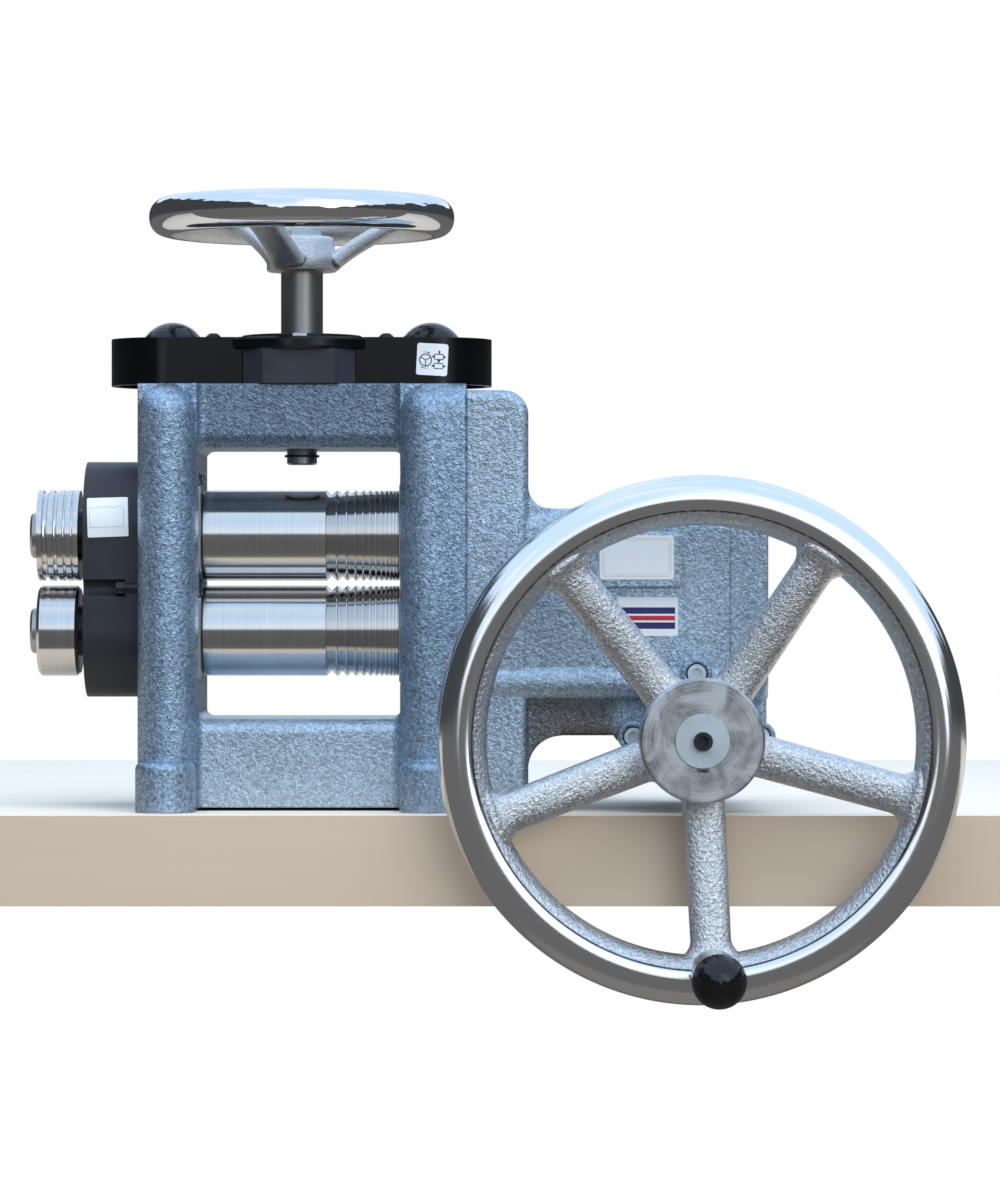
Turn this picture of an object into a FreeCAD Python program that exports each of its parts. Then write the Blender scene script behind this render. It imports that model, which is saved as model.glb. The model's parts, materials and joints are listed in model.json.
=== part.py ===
import FreeCAD, Part
import math
import os

# Jewellers rolling mill. Millimetres. Origin: centre of the four base bolt holes, on the plane of the feet.
# +X runs along the rolls towards the gearbox, +Y to the back, +Z up.

# rolls
roll_radius = 30.0
roll_face = 130.0
roll_gap = 3.4
journal_radius = 19.0
shaft_radius = 14.0
groove_count = 12
first_groove_pitch = 7.5
groove_shrink = 0.88
groove_land = 0.7
roll_edge = 1.0

# clearances
running_clearance = 0.05
sliding_clearance = 0.05
end_play = 0.5
cover_clearance = 1.0
shaft_hole_clearance = 0.3
screw_head_clearance = 1.0

# travel of the upper roll from rest
closing_travel = 3.0
opening_travel = 3.0
travel_reserve = 2.0

# frame casting
post_width = 39.0
post_half_depth = 74.0
beam_half_depth = 54.0
top_beam_height = 42.0
low_beam_top = 60.0
low_beam_bottom = 2.0
beam_edge_radius = 9.0
window_sill = 24.0
nut_length = 58.1
foot_half_depth = 95.0
foot_height = 33.0
foot_edge_radius = 5.5
beam_blend = 6.0
beam_blend_root = 3.0
seam_edge = 0.8
chock_proud = 1.0
gearbox_face_gap = 4.5

# bearing blocks
chock_width = 72.0
chock_below_lower = 33.5
chock_above_lower = 22.5
chock_below_upper = 25.0
chock_above_upper = 33.0
chock_edge = 2.0
bush_wall = 4.0
spring_radius = 4.6
spring_wire = 1.8
spring_steps = 12
spring_turns = 4
spring_pocket_depth = 6.0
spring_clearance = 0.4
spring_edge = 7.0

# pressure screws and their drive
screw_radius = 12.0
screw_hexagon_flats = 15.48
nut_wall = 4.0
nut_flange_lip = 2.0
nut_flange = 5.0
nut_recess = 2.0
pad_radius = 13.0
pad_height = 6.0
pad_pocket_depth = 3.0
centre_teeth = 52
screw_teeth = 34
screw_gear_height = 8.0
centre_gear_height = 16.0
screw_gear_lift = 7.0
centre_gear_lift = 2.0
gear_backlash = 0.35

# adjusting shaft and hand wheel
adjust_shaft_radius = 14.0
adjust_stub_radius = 10.0
adjust_bush_wall = 4.0
shoulder_gap = 0.5
stub_reach = 10.0
circlip_width = 1.5
circlip_depth = 1.0
circlip_lip = 1.6
circlip_edge = 3.5
circlip_opening = 6.0
thrust_washer_lip = 6.0
adjust_wheel_radius = 101.7
adjust_rim_width = 25.0
adjust_rim_height = 22.0
adjust_rim_rise = 38.4
adjust_hub_radius = 23.5
adjust_hub_height = 23.4
adjust_hub_edge = 3.0
adjust_wheel_clearance = 45.6
adjust_spokes = 3
adjust_spoke_width = 17.0
adjust_spoke_height = 9.0
adjust_spoke_root = 12.0
adjust_spoke_flare = 3.0
adjust_spoke_lift = 4.0
adjust_spoke_bend = 14.0
adjust_spoke_edge = 2.0
adjust_spoke_turn = -24.0
adjust_nut_flats = 22.0
adjust_nut_height = 4.0
adjust_thread_radius = 6.0

# top cover
cover_end_wall = 6.5
cover_side_wall = 7.0
cover_corner = 40.0
cover_height = 31.0
cover_roof = 4.0
panel_half_width = 23.5
panel_reach = 37.6
panel_wall = 2.0
lip_wall = 7.0
lip_height = 8.0
lip_edge = 1.5
cap_radius = 19.6
cap_height = 11.8
cap_spigot_radius = 12.0
cap_spigot_length = 3.5
dome_steps = 7
cover_screw_inset_x = 29.0
cover_screw_inset_y = 10.0
cover_screw_grip = 12.0
button_head_ratio = 0.875
button_height_ratio = 0.55
button_socket = 4.0

# pinions and their cover
pinion_teeth = 15
pinion_addendum_ratio = 1.2
pinion_dedendum_ratio = 1.4
pinion_flank_steps = 4
pinion_width = 22.0
pinion_backlash = 0.5
pinion_undercut = 0.35
pinion_gap = 1.5
pinion_side_gap = 9.5
pinion_pocket_clearance = 2.7
pinion_cover_side_wall = 6.5
pinion_cover_wall = 4.0
channel_radius = 5.6
channel_drop = 3.3
channel_edge = 1.0
channel_floor = 9.0
cover_screw_hold = 14.0

# extension rolls
extension_gap = 4.8
extension_length = 27.4
extension_chamfer = 2.0
extension_inset = 3.0
collar_radius = 17.5
end_cap_radius = 15.0
end_cap_length = 5.5
end_cap_bevel = 1.5
end_cap_socket = 8.0
end_cap_socket_depth = 3.0
end_cap_screw_length = 20.0
half_round_radii = (2.0, 1.5, 1.0, 0.75)
groove_steps = 6

# gearbox
gearbox_shoulder = 5.0
gearbox_box_length = 40.5
gearbox_corner = 16.0
gearbox_neck_fillet = 14.0
gearbox_body_rise = 80.5
gearbox_body_drop = 68.5
gearbox_half_depth = 72.0
gearbox_lower_half_depth = 50.0
gearbox_step_drop = 45.0
gearbox_step_slope = 10.0
gearbox_step_inset = 8.0
gearbox_small_edge = 6.0
gearbox_edge_radius = 13.0
gearbox_arch_radius = 22.0
gearbox_window_half = 40.0
gearbox_window_wall = 8.0
gearbox_screw_edge = 14.0
gearbox_screw_hold = 14.0
worm_wheel_distance = 109.0
seam_distance = 22.5
end_cover_thickness = 25.0
end_cover_edge = 2.5
end_screw_inset = 22.0
end_screw_drop = 20.0
end_screw_spread = 78.0
end_screw_spread_y = 5.0
end_screw_hold = 14.0
ridge_radius = 11.5
ridge_proud = 5.0
ridge_drop = 33.5
name_pad_distance = 69.5
name_pad_rise = 46.5
name_pad_width = 62.0
name_pad_height = 35.0
name_pad_thickness = 4.0
name_pad_corner = 4.0
coupling_radius = 25.0
coupling_start_gap = 2.0
coupling_end_gap = 0.5
output_shaft_radius = 15.0
output_shaft_clearance = 1.0
wheel_teeth = 50
worm_module = 2.0
worm_pitch_diameter = 36.0
worm_length = 32.0
worm_backlash = 0.4
worm_thread_sink = 0.3
worm_wheel_width = 24.0
worm_wheel_gap = 2.0
worm_wheel_web = 5.0
worm_wheel_rim = 9.0
worm_wheel_hub = 25.0
worm_shaft_radius = 15.0
worm_shaft_inset = 2.0
worm_bearing_radius = 27.5
worm_bearing_width = 13.0
worm_housing_wall = 8.5
worm_housing_stand = 3.0
bearing_cap_thickness = 12.0
bearing_cap_head_seat = 4.0
bearing_cap_lug_radius = 10.0
bearing_cap_lug_offset = 5.0
bearing_cap_lug_length = 18.0
bearing_cap_screw_hold = 16.0
shaft_seal_gap = 0.5
shaft_bearing_radius = 31.0
shaft_bearing_width = 16.0
race_share = 0.3
race_groove_depth = 0.8

# crank wheel
crank_wheel_radius = 168.0
crank_rim_width = 32.0
crank_rim_depth = 28.0
crank_wheel_standoff = 46.0
crank_hub_radius = 39.5
crank_hub_length = 44.0
crank_hub_bevel = 2.0
crank_spokes = 5
crank_spoke_turn = 2.7
crank_spoke_hub_width = 28.0
crank_spoke_rim_width = 26.0
crank_spoke_depth = 18.0
crank_spoke_fillet = 8.0
crank_spoke_sink = 6.0
crank_spoke_edge = 7.56
crank_spoke_hub_rounding = 14.0
crank_spoke_rim_rounding = 16.0
crank_washer_radius = 17.0
crank_washer_thickness = 3.0
crank_screw_hold = 20.0
crank_key_inset = 5.0

# crank grip
grip_rim_inset = 23.0
grip_reach = 116.0
grip_radius = 15.0
grip_swell = 2.0
grip_cap_length = 14.0
grip_end_gap = 0.5
grip_bevel = 2.0
grip_swell_share = 0.35
spindle_radius = 6.0
spindle_hex_flats = 24.0
spindle_hex_length = 9.0
spindle_seat_rise = 1.0
spindle_tip = 6.0

# screws and keys
small_screw = 6.0
large_screw = 8.0
base_bolt_radius = 6.0
base_bolt_edge = 12.0
key_width = 8.0
key_height = 7.0
key_end_gap = 3.0
gear_key_gap = 1.0
head_ratio = 0.75
socket_ratio = 0.8

# places that follow from the values above
post_inner_x = roll_face / 2 + end_play + chock_proud
post_outer_x = post_inner_x + post_width
post_x = (post_inner_x + post_outer_x) / 2
gearbox_face_x = post_outer_x + gearbox_face_gap
chock_inner_x = post_inner_x - chock_proud
chock_outer_x = post_outer_x
lower_chock_bottom = low_beam_top + window_sill
lower_axis_z = lower_chock_bottom + chock_below_lower
upper_axis_z = lower_axis_z + 2 * roll_radius + roll_gap
lower_chock_top = lower_axis_z + chock_above_lower
upper_chock_bottom = upper_axis_z - chock_below_upper
upper_chock_top = upper_axis_z + chock_above_upper
pad_top = upper_chock_top - pad_pocket_depth + pad_height
window_top = pad_top + opening_travel + travel_reserve
frame_height = window_top + nut_length
top_beam_bottom = frame_height - top_beam_height
bush_radius = journal_radius + running_clearance + bush_wall
spring_offset_y = chock_width / 2 - spring_edge
nut_radius = screw_radius + nut_wall
nut_flange_radius = nut_radius + nut_flange_lip
base_bolt_y = foot_half_depth - base_bolt_edge

gear_module = 2 * post_x / (centre_teeth + screw_teeth)
centre_gear_pitch = gear_module * centre_teeth / 2
screw_gear_pitch = gear_module * screw_teeth / 2
screw_gear_z = frame_height + screw_gear_lift
centre_gear_z = frame_height + centre_gear_lift
cover_top = frame_height + cover_height
centre_pocket_radius = centre_gear_pitch + gear_module + cover_clearance
screw_pocket_radius = screw_gear_pitch + gear_module + cover_clearance
cover_half_length = post_x + screw_gear_pitch + cover_end_wall
cover_half_depth = screw_pocket_radius + cover_side_wall
lip_radius = centre_pocket_radius + lip_wall
panel_front = centre_pocket_radius + panel_wall
cover_screw_x = post_x - cover_screw_inset_x
cover_screw_y = cover_half_depth - cover_screw_inset_y
stub_bottom = top_beam_bottom - stub_reach
circlip_z = top_beam_bottom - circlip_edge - circlip_width
adjust_hub_bottom = cover_top + adjust_wheel_clearance
adjust_hub_top = adjust_hub_bottom + adjust_hub_height
adjust_rim_z = adjust_hub_bottom + adjust_rim_rise

pinion_module = 2 * roll_radius / pinion_teeth
pinion_tip_radius = roll_radius + pinion_addendum_ratio * pinion_module
pinion_start_x = post_outer_x + pinion_gap
pinion_end_x = pinion_start_x + pinion_width
pinion_pocket_radius = pinion_tip_radius + pinion_pocket_clearance
pinion_cover_radius = pinion_pocket_radius + pinion_cover_side_wall
pinion_cover_end = pinion_end_x + pinion_side_gap + pinion_cover_wall
channel_y = pinion_cover_radius - channel_edge
channel_z = (lower_axis_z + upper_axis_z) / 2 - channel_drop
channel_seat_x = post_outer_x + channel_floor
extension_start = pinion_cover_end + extension_gap
extension_end = extension_start + extension_length
shaft_end_x = extension_end - extension_inset
groove_zone = sum(first_groove_pitch * groove_shrink ** i for i in range(groove_count))

gearbox_top = frame_height - gearbox_shoulder
gearbox_box_end = gearbox_face_x + gearbox_box_length
worm_x = gearbox_box_end + worm_wheel_distance
worm_z = lower_axis_z - (worm_module * wheel_teeth + worm_pitch_diameter) / 2
gearbox_body_top = lower_axis_z + gearbox_body_rise
gearbox_body_bottom = lower_axis_z - gearbox_body_drop
gearbox_step_z = lower_axis_z - gearbox_step_drop
gearbox_seam_x = worm_x + seam_distance
gearbox_end_x = gearbox_seam_x + end_cover_thickness
ridge_z = lower_axis_z - ridge_drop
name_pad_centre_x = gearbox_box_end + name_pad_distance
name_pad_centre_z = lower_axis_z + name_pad_rise
coupling_start_x = gearbox_face_x + coupling_start_gap
coupling_end_x = gearbox_box_end - gearbox_window_wall - coupling_end_gap
coupling_middle_x = (gearbox_face_x + gearbox_box_end - gearbox_window_wall) / 2
wheel_side_x = worm_x - worm_wheel_width / 2 - worm_wheel_gap
worm_housing_radius = worm_bearing_radius + worm_housing_wall
worm_housing_half = gearbox_half_depth + ridge_proud + worm_housing_stand
bearing_cap_bolt_circle = 2 * (worm_housing_radius + bearing_cap_lug_offset)
crank_hub_back = -(worm_housing_half + bearing_cap_thickness + crank_wheel_standoff)
crank_hub_front = crank_hub_back - crank_hub_length
crank_rim_y = (crank_hub_front + crank_hub_back) / 2
grip_offset = crank_wheel_radius - grip_rim_inset
grip_front = crank_rim_y - grip_reach
grip_cap_radius = grip_radius + grip_swell
spindle_seat_y = crank_rim_y - crank_rim_depth / 2 - spindle_seat_rise

Vector = FreeCAD.Vector
axes = {"X": Vector(1, 0, 0), "Y": Vector(0, 1, 0), "Z": Vector(0, 0, 1)}

# height above and depth below the pitch line of a standard tooth, in modules
tooth_height_ratio = 0.95
tooth_depth_ratio = 1.25
wheel_tooth_depth_ratio = 1.2
pressure_angle = 20.0

# section of a wheel rim as shares of its depth
rim_slimness = 0.82
rim_outer_rounding = 0.46
rim_inner_rounding = 0.32

# overrun of a cut past the face that it opens, and a length beyond the whole machine
past = 5.0
far = 2 * (gearbox_end_x + crank_wheel_radius + frame_height)


def box(x, y, z):
    """Block between the low and high value on each axis."""
    size = [pair[1] - pair[0] for pair in (x, y, z)]
    return Part.makeBox(size[0], size[1], size[2], Vector(x[0], y[0], z[0]))


def rod(axis, radius, start, end, centre):
    """Cylinder along an axis from start to end; centre is any point of its axis line."""
    direction = axes[axis]
    low = min(start, end)
    base = Vector(*centre) - direction * Vector(*centre).dot(direction) + direction * low
    return Part.makeCylinder(radius, abs(end - start), base, direction)


def ring(axis, outer, inner, start, end, centre):
    """Round sleeve or disc with a round hole."""
    return rod(axis, outer, start, end, centre).cut(rod(axis, inner, start - 1, end + 1, centre))


def turned(axis, profile, centre):
    """Solid of revolution; the profile is a list of (place along the axis, radius)."""
    along = axes[axis]
    side = axes["X"] if axis == "Z" else axes["Z"]
    origin = Vector(*centre) - along * Vector(*centre).dot(along)
    points = [origin + along * place + side * radius for place, radius in profile]
    return Part.Face(Part.makePolygon(points + points[:1])).revolve(origin, along, 360)


def on_plane(axis, u, v, level):
    """Point of an outline that is drawn in the plane across an axis."""
    if axis == "X":
        return Vector(level, u, v)
    if axis == "Y":
        return Vector(u, level, v)
    return Vector(u, v, level)


def outline(axis, corners, level):
    """Closed wire through corners (u, v, rounding radius), straight runs joined by tangent arcs."""
    edges = []
    runs = []
    for i, (u, v, radius) in enumerate(corners):
        here = Vector(u, v, 0)
        back = (Vector(*corners[i - 1][:2], 0) - here).normalize()
        ahead = (Vector(*corners[(i + 1) % len(corners)][:2], 0) - here).normalize()
        if radius <= 0:
            runs.append((here, None, here))
            continue
        half = back.getAngle(ahead) / 2
        bisector = (back + ahead).normalize()
        reach = radius / math.tan(half)
        middle = here + bisector * (radius / math.sin(half) - radius)
        runs.append((here + back * reach, middle, here + ahead * reach))
    for i, (first, middle, last) in enumerate(runs):
        start = runs[i - 1][2]
        if start.distanceToPoint(first) > 1e-6:
            edges.append(Part.LineSegment(on_plane(axis, start.x, start.y, level),
                                          on_plane(axis, first.x, first.y, level)).toShape())
        if middle is not None:
            points = [on_plane(axis, p.x, p.y, level) for p in (first, middle, last)]
            edges.append(Part.Arc(*points).toShape())
    return Part.Wire(edges)


def slab(axis, corners, start, end):
    """Outline with rounded corners, extruded along the axis across it."""
    return Part.Face(outline(axis, corners, start)).extrude(axes[axis] * (end - start))


def stadium(axis, u, v, half_u, half_v, start, end, corner=None):
    """Rectangle about (u, v) with fully rounded ends, or with the given corner radius."""
    radius = min(half_u, half_v) - 0.001 if corner is None else corner
    corners = [(u - half_u, v - half_v, radius), (u + half_u, v - half_v, radius),
               (u + half_u, v + half_v, radius), (u - half_u, v + half_v, radius)]
    return slab(axis, corners, start, end)


def hexagon(axis, flats, start, end, centre):
    """Six-sided bar across the given flats."""
    direction = axes[axis]
    side = axes["X"] if axis == "Z" else axes["Z"]
    other = direction.cross(side)
    base = Vector(*centre) - direction * Vector(*centre).dot(direction) + direction * start
    reach = flats / math.sqrt(3)
    points = []
    for i in range(6):
        angle = math.radians(60 * i)
        points.append(base + side * (reach * math.cos(angle)) + other * (reach * math.sin(angle)))
    return Part.Face(Part.makePolygon(points + points[:1])).extrude(direction * (end - start))


def cap_screw(axis, size, seat, length, centre, way):
    """Socket-head screw: the head stands on the seat, the shank runs into the work against 'way'."""
    head = rod(axis, head_ratio * size, seat, seat + way * size, centre)
    shank = rod(axis, size / 2, seat, seat - way * length, centre)
    socket = hexagon(axis, socket_ratio * size, seat + way * size / 2, seat + way * (size + 1), centre)
    return head.fuse(shank).cut(socket).removeSplitter()


def screw_hole(axis, size, seat, length, centre, way):
    """Hole that the shank of a cap screw fills."""
    return rod(axis, size / 2, seat, seat - way * length, centre)


def head_recess(axis, size, seat, length, centre, way):
    """Round recess around the head of a cap screw, open towards 'way'."""
    return rod(axis, head_ratio * size + screw_head_clearance, seat, seat + way * length, centre)


def far_hole(axis, radius, centre):
    """Hole right through the machine along an axis."""
    return rod(axis, radius, -far, far, centre)


def mirrored_x(shape):
    return shape.mirror(Vector(0, 0, 0), Vector(1, 0, 0))


def save(name, *solids):
    shape = solids[0] if len(solids) == 1 else Part.makeCompound(list(solids))
    shape.exportStep(os.path.join("parts", name + ".step"))


def gear_outline(teeth, module, addendum, dedendum, backlash, flank_steps, undercut):
    """Points of a spur gear outline with involute flanks at a pressure angle of 20 degrees."""
    pitch_radius = module * teeth / 2
    base_radius = pitch_radius * math.cos(math.radians(pressure_angle))
    root_radius = pitch_radius - dedendum
    tip_radius = pitch_radius + addendum
    thickness = math.pi * module / 2 - backlash

    def roll(radius):
        pressure = math.acos(min(1.0, base_radius / radius))
        return math.tan(pressure) - pressure

    def half_angle(radius):
        narrowing = undercut / radius if radius < base_radius else 0.0
        return thickness / (2 * pitch_radius) + roll(pitch_radius) - roll(max(radius, base_radius)) - narrowing

    radii = [root_radius + (tip_radius - root_radius) * i / flank_steps for i in range(flank_steps + 1)]
    flank = [(radius, half_angle(radius)) for radius in radii]
    points = []
    for tooth in range(teeth):
        centre = 2 * math.pi * tooth / teeth
        points += [(radius, centre - half) for radius, half in flank]
        points += [(radius, centre + half) for radius, half in reversed(flank)]
    return points


def gear(axis, polar, start, end, centre, turn):
    """Gear blank with its teeth, from polar points; 'turn' is the angle of the first tooth."""
    direction = axes[axis]
    side = axes["X"] if axis == "Z" else axes["Z"]
    other = direction.cross(side)
    base = Vector(*centre) - direction * Vector(*centre).dot(direction) + direction * start
    points = []
    for radius, angle in polar:
        at = angle + turn
        points.append(base + side * (radius * math.cos(at)) + other * (radius * math.sin(at)))
    return Part.Face(Part.makePolygon(points + points[:1])).extrude(direction * (end - start))


def key_block(axis, start, end, centre, radius):
    """Key that stands half in a shaft of the given radius and half in its hub, on the +Z (or +Y) side."""
    if axis == "X":
        x, y, z = centre
        return box((start, end), (y - key_width / 2, y + key_width / 2),
                   (z + radius - key_height / 2, z + radius + key_height / 2))
    if axis == "Y":
        x, y, z = centre
        return box((x - key_width / 2, x + key_width / 2), (start, end),
                   (z - radius - key_height / 2, z - radius + key_height / 2))
    x, y, z = centre
    return box((x - key_width / 2, x + key_width / 2),
               (y - radius - key_height / 2, y - radius + key_height / 2), (start, end))


# ---------------------------------------------------------------- frame casting

def post_column():
    """Left post: flat-topped core with a half-round column in front and behind, each under a dome."""
    radius = post_width / 2
    core_half = post_half_depth - radius
    column = stadium("Z", -post_x, 0, radius, post_half_depth, 0, frame_height - radius)
    core = box((-post_outer_x, -post_inner_x), (-core_half, core_half), (0, frame_height))
    top = frame_height - radius
    domes = [Part.makeSphere(radius, Vector(-post_x, side * core_half, top)) for side in (-1, 1)]
    return column.multiFuse([core] + domes)


def beam_corners(face, end):
    """Section of a beam in Y and Z: rounded at its face, which looks up or down, and open at its end."""
    half = beam_half_depth
    return [(-half, end, 0), (-half, face, beam_edge_radius), (half, face, beam_edge_radius), (half, end, 0)]


def beam_with_blends(face, end):
    """Beam between the posts, with a hollow blend along its joint with each post."""
    corners = beam_corners(face, end)
    beam = slab("X", corners, -post_x, post_x)
    rounding = beam_blend
    root = beam_blend_root
    middle = rounding * (1 - math.sqrt(0.5))
    blends = []
    section = ((rounding, 0), (middle, middle), (0, rounding),
               (-root, rounding), (-root, -root), (rounding, -root))
    for side in (-1, 1):
        path = Part.Wire(outline("X", corners, side * post_inner_x).Edges[1:])
        points = [Vector(side * (post_inner_x - x), -beam_half_depth - y, end) for x, y in section]
        edges = [Part.Arc(*points[:3]).toShape()]
        for first, second in zip(points[2:], points[3:] + points[:1]):
            edges.append(Part.LineSegment(first, second).toShape())
        blends.append(path.makePipeShell([Part.Wire(edges)], True, True))
    return beam.multiFuse(blends)


def gearbox_flange():
    """Outer half of the right post, flat to the seam with the gearbox, with rounded shoulders."""
    radius = post_width / 2
    corners = [(-post_half_depth, 0, 0), (post_half_depth, 0, 0),
               (post_half_depth, frame_height, radius), (-post_half_depth, frame_height, radius)]
    return seam_chamfer(slab("X", corners, post_x, gearbox_face_x))


def seam_chamfer(casting):
    """Bevels the edges of a casting's joint face, except along its foot, so that the joint shows."""
    edges = [edge for edge in casting.Edges if edge.BoundBox.XLength < 0.01
             and abs(edge.CenterOfMass.x - gearbox_face_x) < 0.01 and edge.CenterOfMass.z > 1]
    return casting.makeChamfer(seam_edge, edges)


def foot(side):
    """Foot with rounded front and back ends that carries one bolt hole at each end."""
    solid = stadium("Z", side * post_x, 0, post_width / 2, foot_half_depth, 0, foot_height)
    top_edges = [edge for edge in solid.Edges if abs(edge.CenterOfMass.z - foot_height) < 0.01]
    return solid.makeFillet(foot_edge_radius, top_edges)


def base_bolt_places():
    return [(sx * post_x, sy * base_bolt_y) for sx in (-1, 1) for sy in (-1, 1)]


def cover_screw_places():
    return [(sx * cover_screw_x, sy * cover_screw_y) for sx in (-1, 1) for sy in (-1, 1)]


def gearbox_screw_places():
    offset = chock_width / 2 + gearbox_screw_edge
    return [(sy * offset, z) for sy in (-1, 1) for z in (lower_chock_bottom, window_top)]


def gearbox_screw_seat():
    """Depth of the seats, so that the screw heads lie below the inner face of the post."""
    return post_inner_x + large_screw + screw_head_clearance


def cover_screw_length():
    return cover_height + cover_screw_grip


def pressure_nut(side):
    """Bronze nut of a pressure screw, with a flange that bears on the roof of the window."""
    centre = (side * post_x, 0, 0)
    body = rod("Z", nut_radius, window_top, frame_height - nut_recess, centre)
    flange = rod("Z", nut_flange_radius, window_top, window_top + nut_flange, centre)
    return body.fuse(flange).cut(far_hole("Z", screw_radius + running_clearance, centre))


def main_frame():
    """One casting: two posts with windows, top and lower beam, four feet."""
    left = post_column()
    right = mirrored_x(left).fuse(gearbox_flange())
    top_beam = beam_with_blends(top_beam_bottom, frame_height)
    low_beam = beam_with_blends(low_beam_top, low_beam_bottom)
    solid = left.multiFuse([right, top_beam, low_beam, foot(-1), foot(1)])
    half = chock_width / 2
    cuts = []
    for side in (-1, 1):
        reach = (post_inner_x - past, gearbox_face_x + past)
        span = reach if side > 0 else (-reach[1], -reach[0])
        cuts.append(box(span, (-half, half), (lower_chock_bottom, window_top)))
        centre = (side * post_x, 0, 0)
        cuts.append(rod("Z", nut_radius, window_top - past, frame_height + past, centre))
        cuts.append(rod("Z", nut_flange_radius, window_top - past, window_top + nut_flange, centre))
    cuts += [rod("Z", base_bolt_radius, -past, foot_height + past, (x, y, 0)) for x, y in base_bolt_places()]
    cuts += [screw_hole("Z", small_screw, cover_top, cover_screw_length(), (x, y, 0), 1)
             for x, y in cover_screw_places()]
    cuts.append(rod("Z", adjust_stub_radius + running_clearance + adjust_bush_wall, top_beam_bottom - past,
                    frame_height + past, (0, 0, 0)))
    channel_depth = channel_floor + cover_screw_hold
    cuts += [screw_hole("X", small_screw, -channel_seat_x, channel_depth, (0, y, channel_z), -1)
             for y in (-channel_y, channel_y)]
    seat = gearbox_screw_seat()
    for y, z in gearbox_screw_places():
        cuts.append(rod("X", large_screw / 2, post_inner_x, gearbox_face_x + past, (0, y, z)))
        cuts.append(head_recess("X", large_screw, seat, -seat + post_inner_x - past, (0, y, z), 1))
    for cut in cuts:
        solid = solid.cut(cut)
    return solid.removeSplitter()


# ---------------------------------------------------------------- bearing blocks

def spring_places(side):
    return [(side * post_x, sy * spring_offset_y) for sy in (-1, 1)]


def spring_pocket(x, y):
    radius = spring_radius + spring_wire / 2 + spring_clearance
    low = lower_chock_top - spring_pocket_depth
    return rod("Z", radius, low, upper_chock_bottom + spring_pocket_depth, (x, y, 0))


def chock(side, axis_z, low, high, clearance):
    """Bearing block: bevelled block with a bore for its bush and pockets for the lift springs."""
    half = chock_width / 2 - clearance
    corners = [(y, z, chock_edge) for y, z in ((-half, low), (half, low), (half, high), (-half, high))]
    span = (chock_inner_x, chock_outer_x) if side > 0 else (-chock_outer_x, -chock_inner_x)
    block = slab("X", corners, span[0], span[1])
    block = block.cut(far_hole("X", bush_radius, (0, 0, axis_z)))
    for x, y in spring_places(side):
        block = block.cut(spring_pocket(x, y))
    return block


def lower_chock(side):
    return chock(side, lower_axis_z, lower_chock_bottom, lower_chock_top, 0.0)


def upper_chock(side):
    block = chock(side, upper_axis_z, upper_chock_bottom, upper_chock_top, sliding_clearance)
    return block.cut(rod("Z", pad_radius, upper_chock_top - pad_pocket_depth, far, (side * post_x, 0, 0)))


def bush(side, axis_z):
    """Bronze bush of a roll journal."""
    span = (chock_inner_x, chock_outer_x) if side > 0 else (-chock_outer_x, -chock_inner_x)
    return ring("X", bush_radius, journal_radius + running_clearance, span[0], span[1], (0, 0, axis_z))


def thrust_pad(side):
    return rod("Z", pad_radius, upper_chock_top - pad_pocket_depth, pad_top, (side * post_x, 0, 0))


def lift_spring(x, y):
    """Coil spring of square wire between the blocks, standing in its two pockets."""
    low = lower_chock_top - spring_pocket_depth
    rise = upper_chock_bottom + spring_pocket_depth - low - spring_wire
    half = spring_wire / 2
    count = spring_turns * spring_steps
    sections = []
    for i in range(count + 1):
        angle = 2 * math.pi * i / spring_steps
        out = Vector(math.cos(angle), math.sin(angle), 0)
        middle = Vector(x, y, low + half + rise * i / count) + out * spring_radius
        corners = [middle + out * (half * a) + axes["Z"] * (half * b)
                   for a, b in ((-1, -1), (1, -1), (1, 1), (-1, 1))]
        sections.append(Part.makePolygon(corners + corners[:1]))
    return Part.makeLoft(sections, True, True)


# ---------------------------------------------------------------- rolls and what is on them

def shaft_end_profile():
    """Profile of a roll's left end: the shaft that carries pinion and extension roll, then the journal."""
    return [(-shaft_end_x, 0), (-shaft_end_x, shaft_radius), (-pinion_start_x, shaft_radius),
            (-pinion_start_x, journal_radius), (-roll_face / 2, journal_radius)]


def grooved_roll(axis_z, right_end):
    """Forged roll: plain face on the left, V-grooves on the right, each narrower than the last."""
    half = roll_face / 2
    face = [(-half, roll_radius - roll_edge), (-half + roll_edge, roll_radius)]
    place = half - groove_zone
    for i in range(groove_count):
        pitch = first_groove_pitch * groove_shrink ** i
        width = pitch - groove_land
        face.append((place + groove_land, roll_radius))
        face.append((place + groove_land + width / 2, roll_radius - width / 2))
        place += pitch
        face.append((place, roll_radius))
    profile = shaft_end_profile() + face + [(half, journal_radius)] + right_end
    solid = turned("X", profile, (0, 0, axis_z))
    return solid.cut(pinion_key(axis_z)).cut(screw_hole("X", small_screw, -extension_end, end_cap_screw_length,
                                                        (0, 0, axis_z), -1))


def lower_roll():
    neck_x = gearbox_face_x + coupling_start_gap / 2
    right = [(neck_x, journal_radius), (neck_x, output_shaft_radius),
             (coupling_middle_x, output_shaft_radius), (coupling_middle_x, 0)]
    return grooved_roll(lower_axis_z, right)


def upper_roll():
    end_x = post_outer_x + pinion_gap
    return grooved_roll(upper_axis_z, [(end_x - roll_edge, journal_radius), (end_x, journal_radius - roll_edge),
                                       (end_x, 0)])


def pinion_key(axis_z):
    start = -pinion_end_x + key_end_gap
    return key_block("X", start, -pinion_start_x - key_end_gap, (0, 0, axis_z), shaft_radius)


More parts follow.
